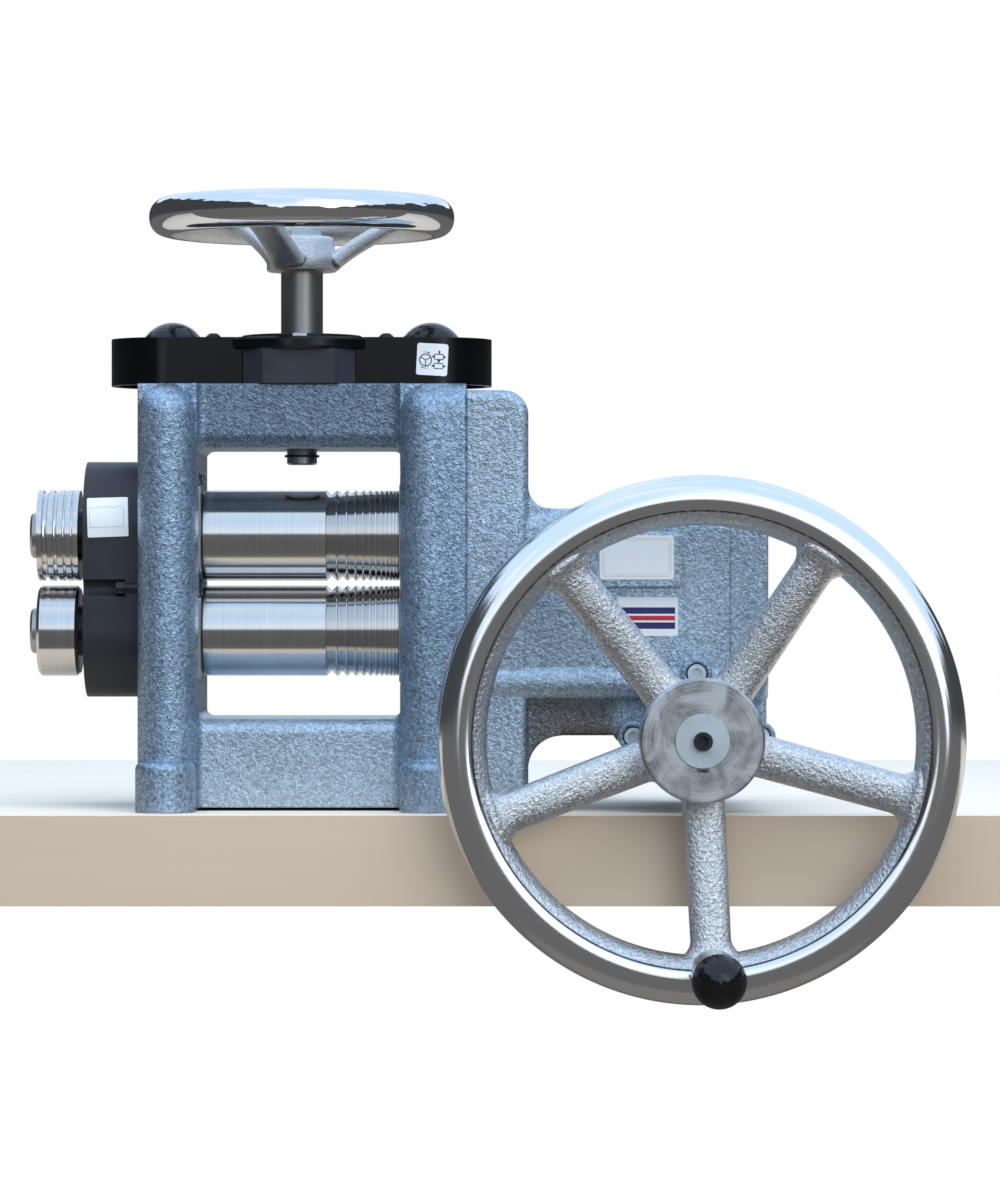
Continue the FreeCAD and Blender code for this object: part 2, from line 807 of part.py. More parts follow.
def pinion(axis_z):
    """Long-toothed pinion that stays in mesh while the rolls open."""
    addendum = pinion_addendum_ratio * pinion_module
    dedendum = pinion_dedendum_ratio * pinion_module
    polar = gear_outline(pinion_teeth, pinion_module, addendum, dedendum, pinion_backlash, pinion_flank_steps,
                         pinion_undercut)
    blank = gear("X", polar, -pinion_end_x, -pinion_start_x, (0, 0, axis_z), 0.0)
    return blank.cut(far_hole("X", shaft_radius, (0, 0, axis_z))).cut(pinion_key(axis_z))


def extension_collar(axis_z):
    return ring("X", collar_radius, shaft_radius, -extension_start, -pinion_end_x, (0, 0, axis_z))


def upper_extension_roll():
    """Half-round wire roll: four round grooves, smaller towards the frame."""
    left = -extension_end
    right = -extension_start
    profile = [(left, shaft_radius), (left, roll_radius)]
    land = (extension_length - 2 * sum(half_round_radii)) / (len(half_round_radii) + 1)
    place = left + land
    for radius in half_round_radii:
        place += radius
        for i in range(groove_steps + 1):
            angle = math.pi * i / groove_steps
            profile.append((place - radius * math.cos(angle), roll_radius - radius * math.sin(angle)))
        place += radius + land
    profile += [(right, roll_radius), (right, shaft_radius)]
    return turned("X", profile, (0, 0, upper_axis_z))


def lower_extension_roll():
    left = -extension_end
    right = -extension_start
    bevel = extension_chamfer
    profile = [(left, shaft_radius), (left, roll_radius - bevel), (left + bevel, roll_radius),
               (right - bevel, roll_radius), (right, roll_radius - bevel), (right, shaft_radius)]
    return turned("X", profile, (0, 0, lower_axis_z))


def end_cap(axis_z):
    """Round cap that clamps the extension roll, with the screw that it is made on."""
    start = -extension_end
    end = start - end_cap_length
    tip = start + end_cap_screw_length
    bevel = end_cap_bevel
    profile = [(end, 0), (end, end_cap_radius - bevel), (end + bevel, end_cap_radius), (start, end_cap_radius),
               (start, small_screw / 2), (tip, small_screw / 2), (tip, 0)]
    socket = hexagon("X", end_cap_socket, end - past, end + end_cap_socket_depth, (0, 0, axis_z))
    return turned("X", profile, (0, 0, axis_z)).cut(socket)


# ---------------------------------------------------------------- pinion cover

def pinion_cover():
    """Black cover over the pinions: flat-sided, a pocket for each pinion, a screw channel front and back."""
    low = lower_axis_z - pinion_cover_radius
    high = upper_axis_z + opening_travel + travel_reserve + pinion_cover_radius
    body = stadium("X", 0, (low + high) / 2, pinion_cover_radius, (high - low) / 2, -pinion_cover_end,
                   -post_outer_x)
    inner_end = -pinion_cover_end + pinion_cover_wall
    body = body.cut(rod("X", pinion_pocket_radius, inner_end, -post_outer_x + past, (0, 0, lower_axis_z)))
    upper_low = upper_axis_z - closing_travel
    upper_high = upper_axis_z + opening_travel
    middle = (upper_low + upper_high) / 2
    half = (upper_high - upper_low) / 2
    body = body.cut(stadium("X", 0, middle, pinion_pocket_radius, pinion_pocket_radius + half, inner_end,
                            -post_outer_x + past))
    hole = collar_radius + cover_clearance
    body = body.cut(rod("X", hole, -far, inner_end + past, (0, 0, lower_axis_z)))
    body = body.cut(stadium("X", 0, middle, hole, hole + half, -far, inner_end + past))
    for side in (-1, 1):
        centre = (0, side * channel_y, channel_z)
        body = body.cut(rod("X", channel_radius, -far, -channel_seat_x, centre))
        body = body.cut(screw_hole("X", small_screw, -channel_seat_x, channel_floor + past, centre, -1))
    return body.removeSplitter()


# ---------------------------------------------------------------- top drive

def top_gear_outline(teeth):
    return gear_outline(teeth, gear_module, tooth_height_ratio * gear_module, tooth_depth_ratio * gear_module,
                        gear_backlash, 1, 0.0)


def centre_gear():
    top = centre_gear_z + centre_gear_height
    blank = gear("Z", top_gear_outline(centre_teeth), centre_gear_z, top, (0, 0, 0), 0.0)
    return blank.cut(far_hole("Z", adjust_shaft_radius, (0, 0, 0))).cut(centre_gear_key())


def centre_gear_key():
    low = centre_gear_z + gear_key_gap
    high = centre_gear_z + centre_gear_height - gear_key_gap
    return key_block("Z", low, high, (0, 0, 0), adjust_shaft_radius)


def screw_gear(side):
    """Gear of a pressure screw, a gap facing the centre gear's tooth."""
    half_pitch = math.pi / screw_teeth
    turn = half_pitch if side < 0 else math.pi + half_pitch
    centre = (side * post_x, 0, 0)
    top = screw_gear_z + screw_gear_height
    blank = gear("Z", top_gear_outline(screw_teeth), screw_gear_z, top, centre, turn)
    return blank.cut(hexagon("Z", screw_hexagon_flats, 0, far, centre))


def pressure_screw(side):
    """Screw body in its nut, a hexagon above it for the gear."""
    centre = (side * post_x, 0, 0)
    top = screw_gear_z + screw_gear_height
    body = rod("Z", screw_radius, pad_top, screw_gear_z, centre)
    return body.fuse(hexagon("Z", screw_hexagon_flats, screw_gear_z, top, centre)).removeSplitter()


def adjust_shaft():
    """Upright shaft: a stub in the beam's bush, the full body above, a neck for the hand wheel."""
    shoulder = frame_height + shoulder_gap
    top = adjust_hub_top + adjust_nut_height
    bevel = roll_edge
    profile = [(stub_bottom, 0), (stub_bottom, adjust_stub_radius - bevel),
               (stub_bottom + bevel, adjust_stub_radius),
               (shoulder, adjust_stub_radius), (shoulder, adjust_shaft_radius),
               (adjust_hub_bottom, adjust_shaft_radius), (adjust_hub_bottom, adjust_stub_radius),
               (adjust_hub_top, adjust_stub_radius), (adjust_hub_top, adjust_thread_radius),
               (top, adjust_thread_radius), (top, 0)]
    solid = turned("Z", profile, (0, 0, 0))
    groove = ring("Z", adjust_stub_radius + past, adjust_stub_radius - circlip_depth, circlip_z,
                  circlip_z + circlip_width, (0, 0, 0))
    return solid.cut(groove).cut(centre_gear_key())


def shaft_circlip():
    """Spring ring in the groove of the stub, open at the back."""
    outer = adjust_stub_radius + circlip_lip
    half = circlip_opening / 2
    clip = ring("Z", outer, adjust_stub_radius - circlip_depth, circlip_z, circlip_z + circlip_width, (0, 0, 0))
    return clip.cut(box((-half, half), (0, outer + past), (circlip_z - past, circlip_z + past)))


def shaft_bush():
    inner = adjust_stub_radius + running_clearance
    return ring("Z", inner + adjust_bush_wall, inner, top_beam_bottom, frame_height, (0, 0, 0))


def thrust_washer():
    outer = adjust_shaft_radius + thrust_washer_lip
    inner = adjust_shaft_radius + running_clearance
    return ring("Z", outer, inner, frame_height, centre_gear_z - running_clearance, (0, 0, 0))


def rim(radius, width, depth, level):
    """Wheel rim about Z: full and round at the outside, slimmer at the inside."""
    inner = radius - width
    full = depth / 2
    slim = rim_slimness * full
    outer_rounding = rim_outer_rounding * depth
    inner_rounding = rim_inner_rounding * depth
    corners = [(radius, level - full, outer_rounding), (radius, level + full, outer_rounding),
               (inner, level + slim, inner_rounding), (inner, level - slim, inner_rounding)]
    return Part.Face(outline("Y", corners, 0)).revolve(Vector(0, 0, 0), axes["Z"], 360)


def adjust_spoke(turn):
    """Flat spoke that rises from the hub to the rim, with rounded long edges."""
    inner = adjust_hub_radius - adjust_spoke_root / 2
    bend = inner + adjust_spoke_root
    outer = adjust_wheel_radius - adjust_rim_width / 2
    low = adjust_hub_bottom + adjust_spoke_lift
    high = adjust_rim_z - adjust_spoke_height / 2
    root_top = low + adjust_spoke_height + adjust_spoke_flare
    round_low = adjust_spoke_bend
    profile = [(inner, low, 0), (bend, low, round_low), (outer, high, 0),
               (outer, high + adjust_spoke_height, 0),
               (bend, root_top, round_low), (inner, root_top, 0)]
    half = adjust_spoke_width / 2
    bar = slab("Y", profile, -half, half)
    long_edges = [edge for edge in bar.Edges if abs(abs(edge.CenterOfMass.y) - half) < 0.01
                  and inner + 1 < edge.CenterOfMass.x < outer - 1]
    bar = bar.makeFillet(adjust_spoke_edge, long_edges)
    bar.rotate(Vector(0, 0, 0), axes["Z"], turn - 90)
    return bar


def adjust_handwheel():
    """Dished hand wheel: rim, hub below it, three rising spokes."""
    solid = rim(adjust_wheel_radius, adjust_rim_width, adjust_rim_height, adjust_rim_z)
    edge = adjust_hub_edge
    hub = turned("Z", [(adjust_hub_bottom, 0), (adjust_hub_bottom, adjust_hub_radius),
                       (adjust_hub_top - edge, adjust_hub_radius), (adjust_hub_top, adjust_hub_radius - edge),
                       (adjust_hub_top, 0)], (0, 0, 0))
    for i in range(adjust_spokes):
        solid = solid.fuse(adjust_spoke(adjust_spoke_turn + 360 * i / adjust_spokes))
    solid = solid.fuse(hub)
    return solid.cut(far_hole("Z", adjust_stub_radius, (0, 0, 0))).removeSplitter()


def adjust_wheel_nut():
    low = adjust_hub_top
    nut = hexagon("Z", adjust_nut_flats, low, low + adjust_nut_height, (0, 0, 0))
    return nut.cut(far_hole("Z", adjust_thread_radius, (0, 0, 0)))


# ---------------------------------------------------------------- top cover

def top_cover():
    """Black moulded cover over the gear train: long body, faceted middle, round lip over it."""
    low = frame_height
    body = stadium("Z", 0, 0, cover_half_length, cover_half_depth, low, cover_top, cover_corner)
    reach = panel_reach
    panel = [(-reach, -cover_half_depth), (-panel_half_width, -panel_front), (panel_half_width, -panel_front),
             (reach, -cover_half_depth), (reach, cover_half_depth), (panel_half_width, panel_front),
             (-panel_half_width, panel_front), (-reach, cover_half_depth)]
    middle = slab("Z", [(x, y, 0) for x, y in panel], low, cover_top - lip_height / 2)
    lip_low = cover_top - lip_height
    lip = turned("Z", [(lip_low, 0), (lip_low, lip_radius - lip_edge), (lip_low + lip_edge, lip_radius),
                       (cover_top - lip_edge, lip_radius), (cover_top, lip_radius - lip_edge), (cover_top, 0)],
                 (0, 0, 0))
    body = body.multiFuse([middle, lip])
    roof = cover_top - cover_roof
    cuts = [rod("Z", centre_pocket_radius, low - past, roof, (0, 0, 0)),
            far_hole("Z", adjust_shaft_radius + shaft_hole_clearance, (0, 0, 0))]
    for side in (-1, 1):
        cuts.append(rod("Z", screw_pocket_radius, low - past, roof, (side * post_x, 0, 0)))
        cuts.append(far_hole("Z", cap_spigot_radius, (side * post_x, 0, 0)))
    cuts += [far_hole("Z", small_screw / 2, (x, y, 0)) for x, y in cover_screw_places()]
    for cut in cuts:
        body = body.cut(cut)
    return body.removeSplitter()


def button_screw(x, y):
    """Button-head screw of the top cover."""
    low = cover_top - cover_screw_length()
    rise = button_height_ratio * small_screw
    dome = [(cover_top + height, radius)
            for height, radius in dome_points(button_head_ratio * small_screw, rise)]
    profile = [(low, 0), (low, small_screw / 2), (cover_top, small_screw / 2)] + dome
    screw = turned("Z", profile, (x, y, 0))
    return screw.cut(hexagon("Z", button_socket, cover_top + rise / 2, cover_top + rise + past, (x, y, 0)))


def dome_points(radius, height):
    """Points (height above the rim, radius) of a shallow dome, from its rim to its top."""
    sphere = (radius ** 2 + height ** 2) / (2 * height)
    reach = math.asin(min(1.0, radius / sphere))
    if height > radius:
        reach = math.pi - reach
    angles = [reach * (1 - i / dome_steps) for i in range(dome_steps + 1)]
    return [(height - sphere * (1 - math.cos(angle)), sphere * math.sin(angle)) for angle in angles]


def screw_cap(side):
    """Glossy domed plug over the top end of a pressure screw."""
    spigot_end = cover_top - cap_spigot_length
    profile = [(spigot_end, 0), (spigot_end, cap_spigot_radius), (cover_top, cap_spigot_radius)]
    profile += [(cover_top + rise, radius) for rise, radius in dome_points(cap_radius, cap_height)]
    return turned("Z", profile, (side * post_x, 0, 0))


# ---------------------------------------------------------------- gearbox

def body_section(start, end):
    """Long part of the gearbox: rounded top edges, a narrower floor, a half-round ridge front and back."""
    half = gearbox_half_depth
    low = gearbox_lower_half_depth
    edge = gearbox_small_edge
    shoulder = half - gearbox_step_inset
    flank_z = gearbox_step_z + gearbox_step_slope
    corners = [(-low, gearbox_body_bottom, edge), (low, gearbox_body_bottom, edge), (low, gearbox_step_z, 0),
               (shoulder, gearbox_step_z, 0), (half, flank_z, edge),
               (half, gearbox_body_top, gearbox_edge_radius), (-half, gearbox_body_top, gearbox_edge_radius),
               (-half, flank_z, edge), (-shoulder, gearbox_step_z, 0), (-low, gearbox_step_z, 0)]
    return slab("X", corners, start, end)


def ridge(start, end):
    centre_y = gearbox_half_depth - ridge_radius + ridge_proud
    return [rod("X", ridge_radius, start, end, (0, side * centre_y, ridge_z)) for side in (-1, 1)]


def lug_places():
    """Three lugs of a bearing cap: above and on both sides, none below because of the bench."""
    half = bearing_cap_bolt_circle / 2
    return [(worm_x, worm_z + half), (worm_x - half, worm_z), (worm_x + half, worm_z)]


def gearbox_case():
    """Gearbox casting: upright box on the post, long body, worm housing across it, arch over the bench."""
    depth = post_half_depth
    upright = [(gearbox_face_x, 0, 0), (gearbox_box_end, 0, 0), (gearbox_box_end, gearbox_top, gearbox_corner),
               (gearbox_face_x, gearbox_top, 0)]
    box_part = slab("Y", upright, -depth, depth)
    edges = [edge for edge in box_part.Edges if abs(abs(edge.CenterOfMass.y) - depth) < 0.01
             and edge.CenterOfMass.x > gearbox_face_x + 1 and edge.CenterOfMass.z > 1]
    box_part = seam_chamfer(box_part.makeFillet(gearbox_small_edge, edges))
    body = body_section(coupling_middle_x, gearbox_seam_x)
    neck = neck_fillet()
    arch = arch_fillet()
    housing = rod("Y", worm_housing_radius, -worm_housing_half, worm_housing_half, (worm_x, 0, worm_z))
    pad_half = (name_pad_width / 2, name_pad_height / 2)
    pad = stadium("Y", name_pad_centre_x, name_pad_centre_z, pad_half[0], pad_half[1],
                  -gearbox_half_depth - name_pad_thickness, -gearbox_half_depth + past, name_pad_corner)
    lugs = []
    for x, z in lug_places():
        for way in (-1, 1):
            lugs.append(rod("Y", bearing_cap_lug_radius, way * (worm_housing_half - bearing_cap_lug_length),
                            way * worm_housing_half, (x, 0, z)))
    ridges = ridge(gearbox_face_x + gearbox_small_edge / 2, gearbox_seam_x)
    solid = box_part.multiFuse([body, neck, arch, housing, pad] + ridges + lugs)
    shaft_line = (0, 0, lower_axis_z)
    wheel_space = worm_module * wheel_teeth / 2 + worm_module + worm_wheel_gap
    half = gearbox_window_half
    cuts = [end_cover_body(),
            rod("X", wheel_space, wheel_side_x, gearbox_seam_x + past, shaft_line),
            rod("Y", worm_bearing_radius, -worm_housing_half - past, worm_housing_half + past,
                (worm_x, 0, worm_z)),
            rod("X", output_shaft_radius + output_shaft_clearance, gearbox_face_x, wheel_side_x + past,
                shaft_line),
            rod("X", shaft_bearing_radius, wheel_side_x - shaft_bearing_width, wheel_side_x + past, shaft_line),
            box((gearbox_face_x - past, gearbox_box_end - gearbox_window_wall), (-half, half),
                (lower_chock_bottom, window_top))]
    for x, z in lug_places():
        for way in (-1, 1):
            cuts.append(rod("Y", large_screw / 2, way * (worm_housing_half - bearing_cap_screw_hold),
                            way * (worm_housing_half + past), (x, 0, z)))
    cuts += [rod("X", large_screw / 2, gearbox_face_x - past, gearbox_face_x + gearbox_screw_hold, (0, y, z))
             for y, z in gearbox_screw_places()]
    cuts += [rod("X", small_screw / 2, gearbox_seam_x - end_screw_hold, gearbox_seam_x + past, (0, y, z))
             for y, z in end_screw_places()]
    for cut in cuts:
        solid = solid.cut(cut)
    return solid.removeSplitter()


def neck_fillet():
    """Concave fillet between the upright box and the top of the long body."""
    radius = gearbox_neck_fillet
    half = post_half_depth - gearbox_small_edge
    block = box((gearbox_box_end - past, gearbox_box_end + radius), (-half, half),
                (gearbox_body_top - past, gearbox_body_top + radius))
    return block.cut(far_hole("Y", radius, (gearbox_box_end + radius, 0, gearbox_body_top + radius)))


def arch_fillet():
    """Concave fillet under the long body, down to the leg that stands on the bench."""
    radius = gearbox_arch_radius
    half = gearbox_lower_half_depth
    block = box((gearbox_box_end - past, gearbox_box_end + radius), (-half, half),
                (gearbox_body_bottom - radius, gearbox_body_bottom + past))
    return block.cut(far_hole("Y", radius, (gearbox_box_end + radius, 0, gearbox_body_bottom - radius)))


def end_screw_places():
    """Four screws of the end cover: the lower pair stands a little further out."""
    upper_y = gearbox_half_depth - end_screw_inset
    lower_y = upper_y + end_screw_spread_y
    upper_z = gearbox_body_top - end_screw_drop
    lower_z = upper_z - end_screw_spread
    return [(-upper_y, upper_z), (upper_y, upper_z), (-lower_y, lower_z), (lower_y, lower_z)]


def end_screw_seat():
    return gearbox_end_x - small_screw - screw_head_clearance


def end_cover_body():
    solid = body_section(gearbox_seam_x, gearbox_end_x)
    edges = [edge for edge in solid.Edges if abs(edge.CenterOfMass.x - gearbox_end_x) < 0.01]
    solid = solid.makeFillet(end_cover_edge, edges)
    solid = solid.multiFuse(ridge(gearbox_seam_x, gearbox_end_x - end_cover_edge))
    return solid.cut(far_hole("Y", worm_housing_radius, (worm_x, 0, worm_z)))


def gearbox_end_cover():
    """Cover over the worm wheel's end of the gearbox, with the seat of the outer shaft bearing."""
    solid = end_cover_body()
    seat_end = gearbox_seam_x + shaft_bearing_width
    solid = solid.cut(rod("X", shaft_bearing_radius, gearbox_seam_x - past, seat_end, (0, 0, lower_axis_z)))
    inner = worm_housing_half - bearing_cap_lug_length
    outer = worm_housing_half + bearing_cap_lug_length
    for x, z in lug_places():
        for way in (-1, 1):
            solid = solid.cut(rod("Y", bearing_cap_lug_radius, way * inner, way * outer, (x, 0, z)))
    for y, z in end_screw_places():
        solid = solid.cut(far_hole("X", small_screw / 2, (0, y, z)))
        solid = solid.cut(head_recess("X", small_screw, end_screw_seat(), far, (0, y, z), 1))
    return solid.removeSplitter()


def bearing_cap(way, bore):
    """Bearing cap of the worm shaft with three lugs for cap screws; the front one lets the shaft through."""
    inner = way * worm_housing_half
    outer = way * (worm_housing_half + bearing_cap_thickness)
    centre = (worm_x, 0, worm_z)
    solid = rod("Y", worm_housing_radius, inner, outer, centre)
    for x, z in lug_places():
        solid = solid.fuse(rod("Y", bearing_cap_lug_radius, inner, outer, (x, 0, z)))
    for x, z in lug_places():
        solid = solid.cut(far_hole("Y", large_screw / 2, (x, 0, z)))
        solid = solid.cut(head_recess("Y", large_screw, way * bearing_cap_seat(), far, (x, 0, z), way))
    if bore > 0:
        solid = solid.cut(far_hole("Y", bore, centre))
    return solid.removeSplitter()


def bearing_cap_seat():
    return worm_housing_half + bearing_cap_head_seat


def bearing(axis, outer, inner, start, end, centre):
    """Ball bearing as one ring, with the groove between its races on both faces."""
    solid = ring(axis, outer, inner, start, end, centre)
    race = race_share * (outer - inner)
    depth = race_groove_depth
    for face_start, face_end in ((start - past, start + depth), (end - depth, end + past)):
        solid = solid.cut(ring(axis, outer - race, inner + race, face_start, face_end, centre))
    return solid


def output_shaft():
    """Shaft from the coupling to the outer bearing, with the worm wheel between."""
    end = gearbox_seam_x + shaft_bearing_width
    solid = rod("X", output_shaft_radius, coupling_middle_x, end, (0, 0, lower_axis_z))
    return solid.cut(worm_wheel_key())


def drive_coupling():
    """Sleeve that joins the lower roll's end to the output shaft."""
    centre = (0, 0, lower_axis_z)
    return ring("X", coupling_radius, output_shaft_radius, coupling_start_x, coupling_end_x, centre)


def worm_wheel_key():
    half = worm_wheel_width / 2
    return key_block("X", worm_x - half + key_end_gap, worm_x + half - key_end_gap, (0, 0, lower_axis_z),
                     output_shaft_radius)


def worm_wheel():
    """Bronze wheel with fifty teeth; a gap faces down, to the worm."""
    depth = wheel_tooth_depth_ratio * worm_module
    polar = gear_outline(wheel_teeth, worm_module, worm_module, depth, 0.0, 1, 0.0)
    half = worm_wheel_width / 2
    down = math.pi + math.pi / wheel_teeth
    blank = gear("X", polar, worm_x - half, worm_x + half, (0, 0, lower_axis_z), down)
    shaft_line = (0, 0, lower_axis_z)
    web_radius = worm_module * wheel_teeth / 2 - worm_wheel_rim
    side = worm_x + half
    web = ring("X", web_radius, worm_wheel_hub, side - worm_wheel_web, side + past, shaft_line)
    return blank.cut(far_hole("X", output_shaft_radius, shaft_line)).cut(worm_wheel_key()).cut(web)


def worm_shaft():
    """Shaft with the worm in its middle: bearings on both sides, the crank wheel's seat in front."""
    pitch = math.pi * worm_module
    root = worm_pitch_diameter / 2 - tooth_depth_ratio * worm_module
    tip = worm_pitch_diameter / 2 + tooth_height_ratio * worm_module
    slope = math.tan(math.radians(pressure_angle))
    half_pitch_line = pitch / 4 - worm_backlash / 2
    half_tip = half_pitch_line - tooth_height_ratio * worm_module * slope
    sink = worm_thread_sink
    half_root = half_pitch_line + (tooth_depth_ratio * worm_module + sink) * slope
    turns = worm_length / pitch
    start = -pitch * round(turns / 2)
    height = -2 * start
    helix = Part.makeHelix(pitch, height, worm_pitch_diameter / 2)
    section = [Vector(root - sink, 0, -half_root), Vector(tip, 0, -half_tip), Vector(tip, 0, half_tip),
               Vector(root - sink, 0, half_root)]
    wire = Part.makePolygon(section + section[:1])
    thread = Part.Wire(helix).makePipeShell([wire], True, True)
    core = Part.makeCylinder(root, height + 2 * half_root, Vector(0, 0, -half_root))
    worm = core.fuse(thread)
    # the helix is wound about Z from +X; it is laid along Y with a crest at its top, where the wheel has a gap
    worm.translate(Vector(0, 0, start))
    worm.rotate(Vector(0, 0, 0), axes["Z"], -90)
    worm.rotate(Vector(0, 0, 0), axes["X"], -90)
    worm.translate(Vector(worm_x, 0, worm_z))
    front = rod("Y", worm_shaft_radius, crank_hub_front, -start, (worm_x, 0, worm_z))
    back = rod("Y", worm_shaft_radius, start / 2, worm_housing_half - worm_shaft_inset, (worm_x, 0, worm_z))
    solid = worm.fuse(front).fuse(back)
    solid = solid.cut(wheel_key())
    return solid.cut(screw_hole("Y", large_screw, crank_hub_front, crank_screw_hold, (worm_x, 0, worm_z), -1))


# ---------------------------------------------------------------- crank wheel

def wheel_key():
    """Key of the crank wheel; it stops short of the hub's front face, where its slot shows."""
    return key_block("Y", crank_hub_front + crank_key_inset, crank_hub_back - key_end_gap, (worm_x, 0, worm_z),
                     worm_shaft_radius)


def wheel_keyway():
    return key_block("Y", crank_hub_front - past, crank_hub_back - key_end_gap, (worm_x, 0, worm_z),
                     worm_shaft_radius)


def crank_spoke(turn):
    """Spoke with rounded long edges that flares into the hub and the rim."""
    inner = crank_hub_radius - crank_spoke_sink
    outer = crank_wheel_radius - crank_rim_width / 2
    rim_edge = crank_wheel_radius - crank_rim_width
    flare = crank_spoke_fillet
    hub_half = crank_spoke_hub_width / 2
    rim_half = crank_spoke_rim_width / 2
    hub_round = crank_spoke_hub_rounding
    rim_round = crank_spoke_rim_rounding
    corners = [(-hub_half - flare, inner, 0), (hub_half + flare, inner, 0),
               (hub_half, crank_hub_radius + flare, hub_round), (rim_half, rim_edge - flare, rim_round),
               (rim_half + flare, outer, 0), (-rim_half - flare, outer, 0),
               (-rim_half, rim_edge - flare, rim_round), (-hub_half, crank_hub_radius + flare, hub_round)]
    half = crank_spoke_depth / 2
    bar = slab("Y", corners, crank_rim_y - half, crank_rim_y + half)
    long_edges = [edge for edge in bar.Edges if abs(abs(edge.CenterOfMass.y - crank_rim_y) - half) < 0.01
                  and inner + 1 < edge.CenterOfMass.z < outer - 1]
    bar = bar.makeFillet(crank_spoke_edge, long_edges)
    bar.rotate(Vector(0, 0, 0), axes["Y"], turn)
    bar.translate(Vector(worm_x, 0, worm_z))
    return bar


def grip_centre():
    """Pivot of the grip: on the lowest spoke, near the rim."""
    angle = math.radians(crank_spoke_turn)
    return (worm_x + grip_offset * math.sin(angle), 0, worm_z - grip_offset * math.cos(angle))


def crank_handwheel():
    """Five-spoked cast wheel with a turned rim and a turned hub."""
    solid = rim(crank_wheel_radius, crank_rim_width, crank_rim_depth, crank_rim_y)
    solid.rotate(Vector(0, 0, 0), axes["X"], -90)
    solid.translate(Vector(worm_x, 0, worm_z))
    for i in range(crank_spokes):
        solid = solid.fuse(crank_spoke(180 - crank_spoke_turn + 360 * i / crank_spokes))
    bevel = crank_hub_bevel
    hub = turned("Y", [(crank_hub_front, 0), (crank_hub_front, crank_hub_radius - bevel),
                       (crank_hub_front + bevel, crank_hub_radius), (crank_hub_back - bevel, crank_hub_radius),
                       (crank_hub_back, crank_hub_radius - bevel), (crank_hub_back, 0)], (0, 0, 0))
    hub.translate(Vector(worm_x, 0, worm_z))
    solid = solid.fuse(hub)
    solid = solid.cut(rod("Y", worm_shaft_radius, -far, 0, (worm_x, 0, worm_z))).cut(wheel_keyway())
    boss = rod("Y", spindle_hex_flats / 2, spindle_seat_y, crank_rim_y, grip_centre())
    solid = solid.fuse(boss)
    return solid.cut(rod("Y", spindle_radius, -far, 0, grip_centre())).removeSplitter()


def crank_washer():
    back = crank_hub_front
    front = back - crank_washer_thickness
    return ring("Y", crank_washer_radius, large_screw / 2, front, back, (worm_x, 0, worm_z))


def crank_screw():
    seat = crank_hub_front - crank_washer_thickness
    return cap_screw("Y", large_screw, seat, crank_washer_thickness + crank_screw_hold, (worm_x, 0, worm_z), -1)


def handle_spindle():
    """Spindle of the grip: a hexagon against the wheel, a plain rod behind and in front of it."""
    hexagon_end = spindle_seat_y - spindle_hex_length
    tip = grip_front + grip_cap_length + spindle_tip
    centre = grip_centre()
    solid = hexagon("Y", spindle_hex_flats, hexagon_end, spindle_seat_y, centre)
    solid = solid.fuse(rod("Y", spindle_radius, tip, crank_rim_y + crank_spoke_depth / 2, centre))
    return solid.removeSplitter()


def grip_sleeve():
    """Polished sleeve that turns on the spindle, swelling towards its free end."""
    start = spindle_seat_y - spindle_hex_length - grip_end_gap
    end = grip_front + grip_cap_length
    swell_start = start - grip_swell_share * (start - end)
    bore = spindle_radius + running_clearance
    bevel = grip_bevel
    profile = [(start, bore), (start, grip_radius - bevel), (start - bevel, grip_radius - bevel / 4),
               (swell_start, grip_radius), (end, grip_cap_radius - bevel / 4), (end, bore)]
    return turned("Y", profile, grip_centre())


def grip_cap():
    """Black domed cap in the free end of the sleeve."""
    back = grip_front + grip_cap_length
    dome = [(back - rise, radius) for rise, radius in dome_points(grip_cap_radius, grip_cap_length)]
    return turned("Y", [(back, 0)] + dome, grip_centre())


